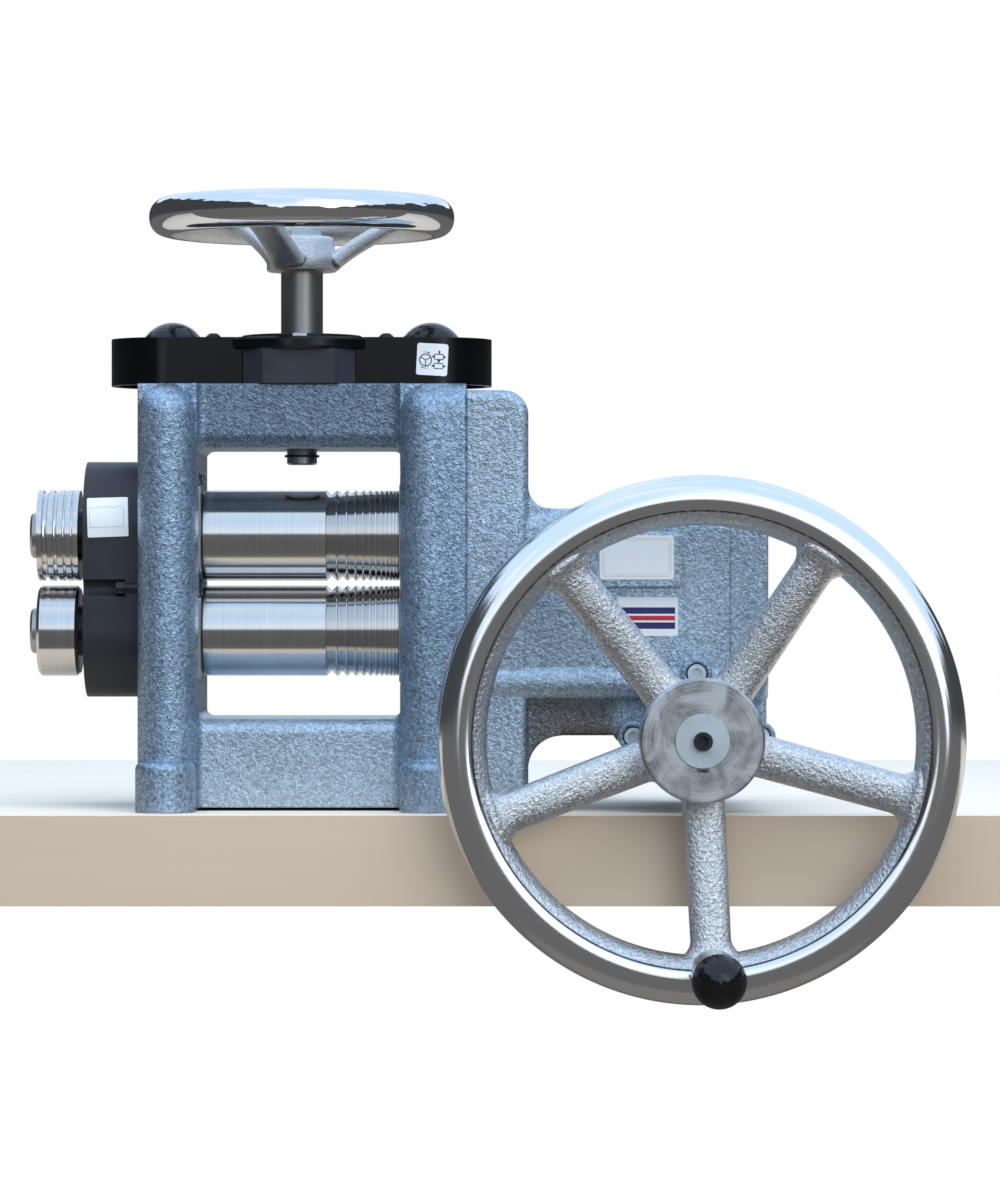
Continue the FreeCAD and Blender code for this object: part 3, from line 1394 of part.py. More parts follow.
def write_parts():
    os.makedirs("parts", exist_ok=True)
    save("main_frame", main_frame())
    for side, name in ((-1, "left"), (1, "right")):
        save("lower_chock_" + name, lower_chock(side))
        save("upper_chock_" + name, upper_chock(side))
        save("pressure_screw_" + name, pressure_screw(side))
        save("screw_gear_" + name, screw_gear(side))
    save("lower_bushes", bush(-1, lower_axis_z), bush(1, lower_axis_z))
    save("upper_bushes", bush(-1, upper_axis_z), bush(1, upper_axis_z))
    save("thrust_pads", thrust_pad(-1), thrust_pad(1))
    save("pressure_nuts", pressure_nut(-1), pressure_nut(1))
    save("lift_springs", *[lift_spring(x, y) for side in (-1, 1) for x, y in spring_places(side)])
    save("screw_caps", screw_cap(-1), screw_cap(1))
    save("lower_roll", lower_roll())
    save("upper_roll", upper_roll())
    for name, axis_z in (("lower", lower_axis_z), ("upper", upper_axis_z)):
        save(name + "_pinion", pinion(axis_z))
        save(name + "_pinion_key", pinion_key(axis_z))
        save(name + "_extension_collar", extension_collar(axis_z))
        save(name + "_end_cap", end_cap(axis_z))
    save("upper_extension_roll", upper_extension_roll())
    save("lower_extension_roll", lower_extension_roll())
    save("pinion_cover", pinion_cover())
    save("pinion_cover_screws", *[cap_screw("X", small_screw, -channel_seat_x, channel_floor + cover_screw_hold,
                                            (0, y, channel_z), -1) for y in (-channel_y, channel_y)])
    save("adjust_shaft", adjust_shaft())
    save("shaft_bush", shaft_bush())
    save("shaft_circlip", shaft_circlip())
    save("thrust_washer", thrust_washer())
    save("centre_gear", centre_gear())
    save("centre_gear_key", centre_gear_key())
    save("adjust_handwheel", adjust_handwheel())
    save("adjust_wheel_nut", adjust_wheel_nut())
    save("top_cover", top_cover())
    save("top_cover_screws", *[button_screw(x, y) for x, y in cover_screw_places()])
    save("gearbox_case", gearbox_case())
    save("gearbox_end_cover", gearbox_end_cover())
    end_length = end_screw_seat() - gearbox_seam_x + end_screw_hold
    save("end_cover_screws", *[cap_screw("X", small_screw, end_screw_seat(), end_length, (0, y, z), 1)
                               for y, z in end_screw_places()])
    box_length = gearbox_face_x + gearbox_screw_hold - gearbox_screw_seat()
    save("gearbox_screws", *[cap_screw("X", large_screw, gearbox_screw_seat(), box_length, (0, y, z), -1)
                             for y, z in gearbox_screw_places()])
    save("front_bearing_cap", bearing_cap(-1, worm_shaft_radius + shaft_seal_gap))
    save("rear_bearing_cap", bearing_cap(1, 0.0))
    cap_length = bearing_cap_head_seat + bearing_cap_screw_hold
    seat = bearing_cap_seat()
    save("bearing_cap_screws", *[cap_screw("Y", large_screw, way * seat, cap_length, (x, 0, z), way)
                                 for x, z in lug_places() for way in (-1, 1)])
    centre = (worm_x, 0, worm_z)
    inner = worm_housing_half - worm_bearing_width
    save("worm_bearings",
         bearing("Y", worm_bearing_radius, worm_shaft_radius, -worm_housing_half, -inner, centre),
         bearing("Y", worm_bearing_radius, worm_shaft_radius, inner, worm_housing_half, centre))
    centre = (0, 0, lower_axis_z)
    spans = ((wheel_side_x - shaft_bearing_width, wheel_side_x),
             (gearbox_seam_x, gearbox_seam_x + shaft_bearing_width))
    save("output_bearings", *[bearing("X", shaft_bearing_radius, output_shaft_radius, start, end, centre)
                              for start, end in spans])
    save("output_shaft", output_shaft())
    save("drive_coupling", drive_coupling())
    save("worm_wheel", worm_wheel())
    save("worm_wheel_key", worm_wheel_key())
    save("worm_shaft", worm_shaft())
    save("crank_handwheel", crank_handwheel())
    save("crank_wheel_key", wheel_key())
    save("crank_washer", crank_washer())
    save("crank_screw", crank_screw())
    save("handle_spindle", handle_spindle())
    save("grip_sleeve", grip_sleeve())
    save("grip_cap", grip_cap())


write_parts()
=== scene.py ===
import bmesh
import bpy
import json
import math
import numpy as np
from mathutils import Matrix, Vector

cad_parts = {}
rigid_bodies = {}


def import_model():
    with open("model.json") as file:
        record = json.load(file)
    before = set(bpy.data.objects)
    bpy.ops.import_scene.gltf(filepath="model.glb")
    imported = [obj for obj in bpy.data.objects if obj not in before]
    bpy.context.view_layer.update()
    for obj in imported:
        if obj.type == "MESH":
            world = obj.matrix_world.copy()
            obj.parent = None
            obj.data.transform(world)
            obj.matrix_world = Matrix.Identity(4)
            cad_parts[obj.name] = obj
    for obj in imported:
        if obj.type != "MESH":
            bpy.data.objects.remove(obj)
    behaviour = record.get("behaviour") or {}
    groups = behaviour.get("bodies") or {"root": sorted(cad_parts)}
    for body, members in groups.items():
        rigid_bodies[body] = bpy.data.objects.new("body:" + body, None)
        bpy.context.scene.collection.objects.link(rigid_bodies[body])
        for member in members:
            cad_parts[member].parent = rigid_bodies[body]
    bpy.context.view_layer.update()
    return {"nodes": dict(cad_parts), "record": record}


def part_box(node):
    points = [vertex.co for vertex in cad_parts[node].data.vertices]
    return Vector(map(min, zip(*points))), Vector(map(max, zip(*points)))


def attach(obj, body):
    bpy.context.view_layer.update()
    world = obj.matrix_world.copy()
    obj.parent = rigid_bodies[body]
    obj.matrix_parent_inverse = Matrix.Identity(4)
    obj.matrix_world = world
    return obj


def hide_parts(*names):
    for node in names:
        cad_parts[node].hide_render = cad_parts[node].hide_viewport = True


for leftover in list(bpy.data.objects):
    bpy.data.objects.remove(leftover)
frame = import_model()
nodes = frame["nodes"]
print("rolling mill: frame loaded,", len(nodes), "CAD nodes")


# shading helpers: each adds one node and joins what it is given

def addNode(tree, kind, inputs=None, **settings):
    node = tree.nodes.new(kind)
    for key, value in settings.items():
        setattr(node, key, value)
    for key, value in (inputs or {}).items():
        if isinstance(value, bpy.types.NodeSocket):
            tree.links.new(value, node.inputs[key])
        else:
            node.inputs[key].default_value = value
    return node


def newLook(name, **values):
    material = bpy.data.materials.new(name)
    material.use_nodes = True
    tree = material.node_tree
    shader = tree.nodes["Principled BSDF"]
    for key, value in values.items():
        shader.inputs[key.replace("_", " ")].default_value = value
    return material, tree, shader


def rgb(red, green, blue):
    return (red, green, blue, 1.0)


def objectPlace(tree, centre=(0, 0, 0), scale=(1, 1, 1)):
    where = addNode(tree, "ShaderNodeTexCoord")
    shift = addNode(tree, "ShaderNodeMapping", {"Vector": where.outputs["Object"]})
    shift.inputs["Scale"].default_value = scale
    shift.inputs["Location"].default_value = [-c * s for c, s in zip(centre, scale)]
    return shift.outputs["Vector"]


def noise(tree, place, scale, detail=2.0, roughness=0.5, distortion=0.0):
    node = addNode(tree, "ShaderNodeTexNoise", {"Vector": place, "Scale": scale, "Detail": detail,
                                                "Roughness": roughness, "Distortion": distortion})
    return node.outputs["Fac"]


def spread(tree, value, low, high, newLow=0.0, newHigh=1.0):
    node = addNode(tree, "ShaderNodeMapRange", {"Value": value, "From Min": low, "From Max": high,
                                                "To Min": newLow, "To Max": newHigh})
    return node.outputs["Result"]


def blendColours(tree, share, first, second, mode="MIX"):
    node = addNode(tree, "ShaderNodeMix", data_type="RGBA", blend_type=mode)
    for socket, value in ((node.inputs[6], first), (node.inputs[7], second), (node.inputs[0], share)):
        if isinstance(value, bpy.types.NodeSocket):
            tree.links.new(value, socket)
        else:
            socket.default_value = value
    return node.outputs[2]


def maths(tree, operation, first, second=0.5):
    node = addNode(tree, "ShaderNodeMath", operation=operation)
    for socket, value in zip(node.inputs, (first, second)):
        if isinstance(value, bpy.types.NodeSocket):
            tree.links.new(value, socket)
        else:
            socket.default_value = value
    return node.outputs[0]


def times(tree, first, second):
    return maths(tree, "MULTIPLY", first, second)


def plus(tree, first, second):
    return maths(tree, "ADD", first, second)


def splitVector(tree, vector):
    return list(addNode(tree, "ShaderNodeSeparateXYZ", {"Vector": vector}).outputs)


def finishLook(tree, shader, colour, roughness, height, distance, edge=0.0):
    # colour, roughness and relief; edges are shaded as if rounded to the radius edge
    bump = addNode(tree, "ShaderNodeBump", {"Height": height, "Distance": distance, "Strength": 1.0})
    if edge:
        rounded = addNode(tree, "ShaderNodeBevel", {"Radius": edge}, samples=6)
        tree.links.new(rounded.outputs["Normal"], bump.inputs["Normal"])
    for value, socket in ((colour, "Base Color"), (roughness, "Roughness"), (bump.outputs["Normal"], "Normal")):
        tree.links.new(value, shader.inputs[socket])


hammerPaint = {"low": rgb(0.18, 0.25, 0.33), "high": rgb(0.59, 0.78, 1.0), "cell": 400.0, "fine": 1300.0,
               "broad": 14.0, "roughness": 0.27, "relief": 0.0009, "edge": 0.0022}
# the gearbox's copy of the paint is paler: painted light where the gearbox stands brighter than the frame
litCasePaint = dict(hammerPaint, low=rgb(0.27, 0.345, 0.43), high=rgb(0.70, 0.86, 1.0))  # gearbox: a little paler
# painted shade under the cover and in the gearbox's arch, painted light near the base: colours and where each is
paintedLightShade = {"recess": (0.066, 0.060), "coverShade": rgb(0.55, 0.55, 0.57), "coverShadeZ": (0.222, 0.246), "baseLightShare": 0.2,
             "baseLight": rgb(0.90, 1.0, 1.0), "baseLightZ": (0.085, 0.064), "archShadeColour": rgb(0.46, 0.37, 0.32),
             "archShadeZ": (0.0755, 0.0685), "archShadeLeft": (0.1445, 0.1545), "archShadeRight": (0.213, 0.201)}


def makeHammerPaint(name, values, lightShade):
    # between the posts the paint is darkened by painted shade under the cover and made paler by painted light near the
    # base; painted shade, tinted warm by a painted reflection of the bench, sits in the gearbox's arch under the ridge;
    # each pair is where it starts and where it is full
    material, tree, shader = newLook(name, Metallic=0.80, Coat_Weight=0.15, Coat_Roughness=0.2)
    place = objectPlace(tree)
    x, y, z = splitVector(tree, place)
    recess = spread(tree, maths(tree, "ABSOLUTE", x), *lightShade["recess"])
    # painted shade under the top cover
    coverShade = times(tree, recess, spread(tree, z, *lightShade["coverShadeZ"]))
    # painted light near the base, standing in for the bench's bounce
    baseLight = times(tree, recess, spread(tree, z, *lightShade["baseLightZ"], 0.0, lightShade["baseLightShare"]))
    # painted shade, tinted warm by a painted reflection of the bench, in the gearbox's arch under the ridge
    archShade = times(tree, spread(tree, z, *lightShade["archShadeZ"]),
                  times(tree, spread(tree, x, *lightShade["archShadeLeft"]), spread(tree, x, *lightShade["archShadeRight"])))
    wrinkle = noise(tree, place, values["cell"], 2.5, 0.55, 0.7)
    fine = noise(tree, place, values["fine"], 1.0)
    broad = noise(tree, place, values["broad"], 2.0)
    share = plus(tree, spread(tree, wrinkle, 0.30, 0.72, 0.0, 0.86), spread(tree, broad, 0.3, 0.7, -0.06, 0.14))
    paint = blendColours(tree, share, values["low"], values["high"])
    # painted shade under the cover, painted shade in the arch, painted light near the base, in this order
    paint = blendColours(tree, coverShade, paint, lightShade["coverShade"], "MULTIPLY")
    paint = blendColours(tree, archShade, paint, lightShade["archShadeColour"], "MULTIPLY")
    paint = blendColours(tree, baseLight, paint, lightShade["baseLight"])
    dull = spread(tree, fine, 0.3, 0.7, values["roughness"] - 0.05, values["roughness"] + 0.09)
    height = plus(tree, wrinkle, times(tree, fine, 0.22))
    finishLook(tree, shader, paint, dull, height, values["relief"], values["edge"])
    return material


castSilver = {"low": rgb(0.60, 0.60, 0.605), "high": rgb(0.95, 0.95, 0.96), "grain": 420.0, "roughness": 0.19,
              "relief": 0.0010}
fineSilver = {"low": rgb(0.60, 0.60, 0.605), "high": rgb(0.93, 0.93, 0.94), "grain": 800.0, "roughness": 0.33,
              "relief": 0.0005}
crankPolish = {"colour": rgb(0.93, 0.93, 0.93), "roughness": 0.07, "haze": 0.10, "lines": 0.02, "cast": (0.32, 0.68),
               "step": rgb(0.10, 0.10, 0.11)}
topPolish = {"colour": rgb(0.86, 0.86, 0.87), "roughness": 0.025, "haze": 0.03, "lines": 0.004, "cast": (0.45, 0.73),
             "step": rgb(0.30, 0.30, 0.31)}


def makeCastSilver(name, values):
    material, tree, shader = newLook(name, Metallic=0.96)
    place = objectPlace(tree)
    grain = noise(tree, place, values["grain"], 3.0, 0.6, 0.3)
    fine = noise(tree, place, values["grain"] * 3.1, 1.5)
    colour = blendColours(tree, spread(tree, grain, 0.3, 0.68), values["low"], values["high"])
    dull = spread(tree, fine, 0.3, 0.7, values["roughness"] - 0.08, values["roughness"] + 0.1)
    finishLook(tree, shader, colour, dull, plus(tree, grain, times(tree, fine, 0.3)), values["relief"])
    return material


def makeRimLook(name, polish, cast):
    # the rim's own UV map: u runs round the wheel, v round the section, and v near 0 and 1 is the outside; fine lines
    # run round the wheel, and a dark line marks the steps between the polished and the cast part
    material, tree, shader = newLook(name, Metallic=1.0)
    place = objectPlace(tree)
    where = addNode(tree, "ShaderNodeUVMap", uv_map="wheel")
    u, v = splitVector(tree, where.outputs["UV"])[:2]
    castFrom, castTo = polish["cast"]
    lines = addNode(tree, "ShaderNodeCombineXYZ", {"X": times(tree, u, 6.0), "Y": times(tree, v, 260.0)})
    scratch = noise(tree, lines.outputs["Vector"], 1.0, 3.0, 0.6)
    rough = spread(tree, v, castFrom - 0.004, castFrom + 0.004)
    roughEnd = spread(tree, v, castTo - 0.004, castTo + 0.004, 1.0, 0.0)
    mask = times(tree, rough, roughEnd)
    grain = noise(tree, place, cast["grain"], 3.0, 0.6, 0.3)
    castColour = blendColours(tree, spread(tree, grain, 0.3, 0.68), cast["low"], cast["high"])
    colour = blendColours(tree, mask, polish["colour"], castColour)
    fromStep = maths(tree, "MINIMUM", maths(tree, "ABSOLUTE", maths(tree, "SUBTRACT", v, castFrom)),
                     maths(tree, "ABSOLUTE", maths(tree, "SUBTRACT", v, castTo)))
    lined = blendColours(tree, spread(tree, fromStep, 0.003, 0.010), polish["step"], colour)
    shine = spread(tree, scratch, 0.3, 0.75, polish["roughness"], polish["roughness"] + polish["haze"])
    dull = plus(tree, shine, times(tree, mask, cast["roughness"]))
    height = plus(tree, times(tree, grain, mask), times(tree, scratch, polish["lines"]))
    finishLook(tree, shader, lined, dull, height, cast["relief"])
    return material


def makeTurnedSteel(name, colour, axis, roughness, lines, depth, haze=0.08):
    # lines that a lathe or grinder leaves: they follow the place along the axis (0 X, 1 Y, 2 Z), so they run round it
    material, tree, shader = newLook(name, Metallic=1.0)
    scale = [6.0, 6.0, 6.0]
    scale[axis] = lines
    place = objectPlace(tree, scale=scale)
    fine = noise(tree, place, 1.0, 4.0, 0.65)
    cloud = noise(tree, objectPlace(tree), 40.0, 3.0)
    tone = spread(tree, cloud, 0.3, 0.7, 0.92, 1.05)
    dark = tuple(0.80 * c for c in colour[:3]) + (1.0,)
    shade = blendColours(tree, times(tree, spread(tree, fine, 0.25, 0.7), tone), dark, colour)
    dull = spread(tree, fine, 0.25, 0.75, roughness, roughness + haze)
    finishLook(tree, shader, shade, dull, fine, depth)
    return material


def makeFacedSteel(name, colour, centre, roughness, lines, depth):
    # a faced end across Y: rings about the centre, the distance from the axis drives them
    material, tree, shader = newLook(name, Metallic=1.0)
    place = objectPlace(tree, centre, (1.0, 0.0, 1.0))
    reach = addNode(tree, "ShaderNodeVectorMath", {0: place}, operation="LENGTH").outputs["Value"]
    patch = noise(tree, objectPlace(tree, centre, (1.0, 0.2, 1.0)), 52.0, 3.0, 0.6, 0.9)
    rings = addNode(tree, "ShaderNodeCombineXYZ", {"X": times(tree, reach, lines), "Y": times(tree, patch, 1.3)})
    mark = noise(tree, rings.outputs["Vector"], 1.0, 3.0, 0.7)
    light = tuple(min(1.0, 1.5 * c) for c in colour[:3]) + (1.0,)
    dark = tuple(0.55 * c for c in colour[:3]) + (1.0,)
    share = plus(tree, times(tree, spread(tree, mark, 0.3, 0.7), 0.55),
                 times(tree, spread(tree, patch, 0.40, 0.62), 0.5))
    dull = spread(tree, patch, 0.3, 0.75, roughness, roughness + 0.16)
    finishLook(tree, shader, blendColours(tree, share, dark, light), dull, mark, depth)
    return material


def makeGrained(name, low, high, grain, roughness, haze, depth, metallic=0.0, edge=0.0, **values):
    # plain fine-grained finish: plastic, black oxide, zinc or bronze by its values
    material, tree, shader = newLook(name, Metallic=metallic, **values)
    place = objectPlace(tree)
    fine = noise(tree, place, grain, 2.0)
    cloud = noise(tree, place, 60.0, 3.0)
    share = times(tree, plus(tree, fine, cloud), 0.5)
    colour = blendColours(tree, spread(tree, share, 0.3, 0.7), low, high)
    dull = spread(tree, cloud, 0.3, 0.7, roughness, roughness + haze)
    finishLook(tree, shader, colour, dull, fine, depth, edge)
    return material


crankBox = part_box("crank_handwheel")
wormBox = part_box("worm_shaft")
crankCentre = ((wormBox[0].x + wormBox[1].x) / 2, 0, (crankBox[1].z + crankBox[0].z) / 2)
hubFront = crankBox[0].y
hubBack = crankBox[1].y

paintLook = makeHammerPaint("hammer_paint", hammerPaint, paintedLightShade)
# paler copy of the paint for the gearbox: painted light
litCasePaintLook = makeHammerPaint("case_paint_lit", litCasePaint, paintedLightShade)
castLook = makeCastSilver("cast_silver", castSilver)
fineCastLook = makeCastSilver("fine_cast", fineSilver)
crankRimLook = makeRimLook("crank_rim", crankPolish, castSilver)
topRimLook = makeRimLook("top_rim", topPolish, fineSilver)
rollLook = makeTurnedSteel("ground_roll", rgb(0.80, 0.79, 0.78), 0, roughness=0.10, lines=2600.0, depth=0.000012)
shaftLook = makeTurnedSteel("turned_shaft", rgb(0.42, 0.41, 0.40), 2, roughness=0.30, lines=1900.0, depth=0.00003)
gripLook = makeTurnedSteel("grip_steel", rgb(0.62, 0.62, 0.62), 1, roughness=0.16, lines=1500.0, depth=0.00002)
hubLook = makeFacedSteel("hub_face", rgb(0.60, 0.61, 0.625), crankCentre, roughness=0.24, lines=1700.0, depth=0.00004)
steelLook = makeGrained("plain_steel", rgb(0.36, 0.36, 0.35), rgb(0.58, 0.57, 0.55), grain=900.0, roughness=0.28,
                        haze=0.12, depth=0.00004, metallic=1.0)
oxideLook = makeGrained("black_oxide", rgb(0.018, 0.018, 0.02), rgb(0.05, 0.05, 0.055), grain=900.0, roughness=0.3,
                        haze=0.15, depth=0.00004, metallic=0.6)
zincLook = makeGrained("zinc_plate", rgb(0.64, 0.72, 0.77), rgb(0.82, 0.91, 0.96), grain=1300.0, roughness=0.3,
                       haze=0.15, depth=0.00005, metallic=0.85)
bronzeLook = makeGrained("bronze", rgb(0.36, 0.22, 0.09), rgb(0.62, 0.42, 0.18), grain=700.0, roughness=0.25,
                         haze=0.15, depth=0.00004, metallic=1.0)
satinLook = makeGrained("satin_black", rgb(0.005, 0.005, 0.006), rgb(0.011, 0.011, 0.013), grain=2600.0,
                        roughness=0.33, haze=0.10, depth=0.00004, edge=0.0007, Specular_IOR_Level=0.35)
coverLook = makeGrained("cover_black", rgb(0.020, 0.021, 0.029), rgb(0.038, 0.040, 0.052), grain=2600.0,
                        roughness=0.38, haze=0.12, depth=0.00005, edge=0.0007, Specular_IOR_Level=0.4)
glossLook = makeGrained("gloss_black", rgb(0.006, 0.006, 0.007), rgb(0.010, 0.010, 0.012), grain=900.0,
                        roughness=0.07, haze=0.04, depth=0.000005)

topCover = {"smooth": rgb(0.0025, 0.0025, 0.0035), "matt": rgb(0.042, 0.047, 0.062), "panelFront": -0.0447,
            "panelTop": 0.3029, "grain": 2200.0, "cloud": 45.0, "roughness": (0.16, 0.21), "panelRoughness": 0.34,
            "relief": 0.00001, "edge": 0.0007}


def makeTopCoverLook(values):
    # smooth black moulding; the faceted panel in its middle, in front of the sides and under the lip, is matt and paler
    material, tree, shader = newLook("top_cover_black", Specular_IOR_Level=0.38)
    place = objectPlace(tree)
    y, z = splitVector(tree, place)[1:]
    panel = times(tree, maths(tree, "LESS_THAN", y, values["panelFront"]),
                  maths(tree, "LESS_THAN", z, values["panelTop"]))
    fine = noise(tree, place, values["grain"], 2.0)
    cloud = noise(tree, place, values["cloud"], 2.0)
    tone = blendColours(tree, panel, values["smooth"], values["matt"])
    shaded = blendColours(tree, spread(tree, plus(tree, fine, cloud), 0.7, 1.3, 0.0, 0.35), tone, rgb(0, 0, 0))
    roughness = spread(tree, cloud, 0.3, 0.7, *values["roughness"])
    dull = plus(tree, roughness, times(tree, panel, values["panelRoughness"]))
    finishLook(tree, shader, shaded, dull, fine, values["relief"], values["edge"])
    return material


topCoverLook = makeTopCoverLook(topCover)
looks = {"hammer_paint": paintLook, "roll_steel": rollLook, "machined_steel": steelLook, "dark_steel": oxideLook,
         "zinc_steel": zincLook, "wheel_casting": castLook, "chrome_rim": castLook, "satin_black": satinLook,
         "gloss_black": glossLook, "bronze": bronzeLook}
# CAD nodes with a look of their own
special = {"gearbox_case": litCasePaintLook, "gearbox_end_cover": litCasePaintLook, "pinion_cover": coverLook,
           "top_cover": topCoverLook, "adjust_shaft": shaftLook, "grip_sleeve": gripLook, "grip_cap": glossLook}
for part in frame["record"]["subparts"]:
    look = special.get(part["node"], looks[part["material_slot"]])
    for materialSlot in nodes[part["node"]].material_slots:
        materialSlot.material = look
print("looks: every CAD node has its finish")


# surfaces: grids of points (rows, columns, 3), each with whether its rows and its columns close into a loop

def gridFaces(rows, columns, wrapRows, wrapColumns, offset=0):
    # corners of a grid cell in order: its own, one row on, one row and one column on, one column on
    r, c = np.meshgrid(np.arange(rows if wrapRows else rows - 1), np.arange(columns if wrapColumns else columns - 1),
                       indexing="ij")
    nextRow, nextColumn = (r + 1) % rows, (c + 1) % columns
    quads = np.stack([r * columns + c, nextRow * columns + c, nextRow * columns + nextColumn, r * columns + nextColumn],
                     axis=-1)
    return quads.reshape(-1, 4) + offset


def makePiece(name, grids, look, body, smoothAngle=None, uvName=None):
    # one closed mesh of its grids: where only the columns close, one face caps the first row and one the last
    places, quads, caps = [], [], []
    offset = 0
    for points, wrapRows, wrapColumns in grids:
        rows, columns = points.shape[:2]
        places.append(points.reshape(-1, 3))
        quads.append(gridFaces(rows, columns, wrapRows, wrapColumns, offset))
        if wrapColumns and not wrapRows:
            caps.append((offset + np.arange(columns)).tolist())
            caps.append((offset + (rows - 1) * columns + np.arange(columns)[::-1]).tolist())
        offset += rows * columns
    mesh = bpy.data.meshes.new(name)
    mesh.from_pydata(np.concatenate(places).tolist(), [], np.concatenate(quads).tolist() + caps)
    mesh.update()
    if uvName:
        # for a piece of one grid: u = row / rows, v = column / columns, and one turn more where a cell closes the loop
        layer = mesh.uv_layers.new(name=uvName)
        u = (quads[0] // columns) / rows
        v = (quads[0] % columns) / columns
        u[:, 1:3] = np.where(u[:, 1:3] < u[:, :1], u[:, 1:3] + 1.0, u[:, 1:3])
        v[:, 2:4] = np.where(v[:, 2:4] < v[:, :1], v[:, 2:4] + 1.0, v[:, 2:4])
        layer.data.foreach_set("uv", np.stack([u, v], axis=-1).astype(np.float32).ravel())
    piece = bpy.data.objects.new(name, mesh)
    bpy.context.scene.collection.objects.link(piece)
    mesh.polygons.foreach_set("use_smooth", [True] * len(mesh.polygons))
    if smoothAngle:
        mesh.set_sharp_from_angle(angle=math.radians(smoothAngle))
    mesh.materials.append(look)
    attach(piece, body)
    shape = bmesh.new()
    shape.from_mesh(mesh)
    bmesh.ops.recalc_face_normals(shape, faces=shape.faces)  # outwards
    shape.to_mesh(mesh)
    shape.free()
    return piece


def fullTurn(count):
    # angles t from 0 to one turn
    return np.arange(count) * 2 * math.pi / count


def superellipse(turn, exponent):
    # (cos t, sin t), each raised to the power 2 / exponent with its sign kept
    return [np.sign(value) * np.abs(value) ** (2 / exponent) for value in (np.cos(turn), np.sin(turn))]


def ringGrid(axis, centre, profile, steps):
    # profile carried round an axis: place = centre + axis * along + (cos t, sin t) * radius
    along, radius = np.asarray(profile, float).T
    turn = fullTurn(steps)
    first, second = [i for i in range(3) if i != axis]
    points = np.zeros((steps, len(along), 3))
    points[..., axis] = along + centre[axis]
    points[..., first] = np.cos(turn)[:, None] * radius + centre[first]
    points[..., second] = np.sin(turn)[:, None] * radius + centre[second]
    return points, True, True


def spokeTurns(values):
    # evenly spaced from the wheel's turn, which is in degrees
    return [math.radians(values["turn"] + 360 * i / values["spokes"]) for i in range(values["spokes"])]


# crank wheel: rim, five flared spokes and a hub
crankWheel = {"rimRadius": 0.15195, "halfWidth": 0.016, "halfDepth": 0.014, "rimY": -0.160, "castShare": 0.945,
              "stepCosine": -0.43, "stepBlend": 0.035, "spokes": 5, "turn": 2.7, "spokeHalfWidth": 0.0128,
              "taper": 0.0010, "spokeHalfDepth": 0.0088, "exponent": 2.5, "hubRoot": 0.0055, "hubBury": 0.006,
              "rimRoot": 0.0115, "rimBury": 0.008, "rootDepth": 0.2, "dish": 0.0125, "rimStart": 0.1375,
              "hubRadius": 0.0395, "shellFrom": 0.006, "shellBore": 0.0152, "chamfer": 0.003, "faceBevel": 0.0014,
              "faceDepth": 0.0058, "boreRadius": 0.0151, "slotReach": 0.0196, "slotHalfWidth": 0.004}


def crankRimGrid(values, steps=288, around=72):
    # section = ellipse (cos v, sin v) carried round the wheel's axis; its depth falls to the cast share inside, by a
    # tanh of cos v minus the step's cosine
    v = fullTurn(around)
    proud = 0.5 + 0.5 * np.tanh((np.cos(v) - values["stepCosine"]) / values["stepBlend"])
    radial = values["rimRadius"] + values["halfWidth"] * np.cos(v)
    depth = values["halfDepth"] * np.sin(v) * (values["castShare"] + (1 - values["castShare"]) * proud)
    return ringGrid(1, crankCentre, np.stack([values["rimY"] + depth, radial], axis=-1), steps)


def crankSpokeGrid(values, angle, steps=40, around=40):
    # reach runs out along the radius; half width = plain half width + root - root * sin t, so both ends flare as arcs:
    # at the rim a quarter circle, at the hub from where that circle of radius root touches the hub; the middle line
    # steps back by the dish at the hub; section = superellipse
    root, hub, half = values["hubRoot"], values["hubRadius"], values["spokeHalfWidth"] + values["taper"]
    rootCentre = math.sqrt((hub + root) ** 2 - (half + root) ** 2)
    rootTurn = np.linspace(math.acos(rootCentre / (hub + root)), math.pi / 2, 12)
    hubReach = rootCentre - root * np.cos(rootTurn)
    turn = np.linspace(0, math.pi / 2, 14)
    rimReach = values["rimStart"] - values["rimRoot"] * (1 - np.cos(turn[::-1]))
    plain = np.linspace(hubReach[-1], rimReach[0], steps)[1:-1]
    reach = np.concatenate([[hubReach[0] - values["hubBury"]], hubReach, plain, rimReach,
                            [values["rimStart"] + values["rimBury"]]])
    hubFlare = root * (1 - np.sin(rootTurn))
    flare = np.concatenate([hubFlare[:1], hubFlare, plain * 0,
                            values["rimRoot"] * (1 - np.sin(turn[::-1])), [values["rimRoot"]]])
    inward = np.clip((values["rimStart"] - reach) / (values["rimStart"] - values["hubRadius"]), 0, 1)
    width = values["spokeHalfWidth"] + values["taper"] * inward + flare
    depth = values["spokeHalfDepth"] + values["rootDepth"] * flare
    across, deep = superellipse(fullTurn(around), values["exponent"])
    out = np.array([math.sin(angle), 0.0, -math.cos(angle)])
    side = np.array([math.cos(angle), 0.0, math.sin(angle)])
    points = reach[:, None, None] * out + (width[:, None] * across)[..., None] * side
    points[..., 1] = (values["rimY"] + values["dish"] * inward)[:, None] + depth[:, None] * deep
    points[..., 0] += crankCentre[0]
    points[..., 2] += crankCentre[2]
    return points, False, True


def hubShellGrid(values, steps=128):
    # shell behind the faced ring, chamfered at its back, carried round the wheel's axis
    front, radius, chamfer = hubFront + values["shellFrom"], values["hubRadius"], values["chamfer"]
    profile = [(front, values["shellBore"]), (hubBack, values["shellBore"]), (hubBack, radius - chamfer),
               (hubBack - chamfer / 3, radius - chamfer / 3), (hubBack - chamfer, radius), (front, radius)]
    return ringGrid(1, crankCentre, profile, steps)


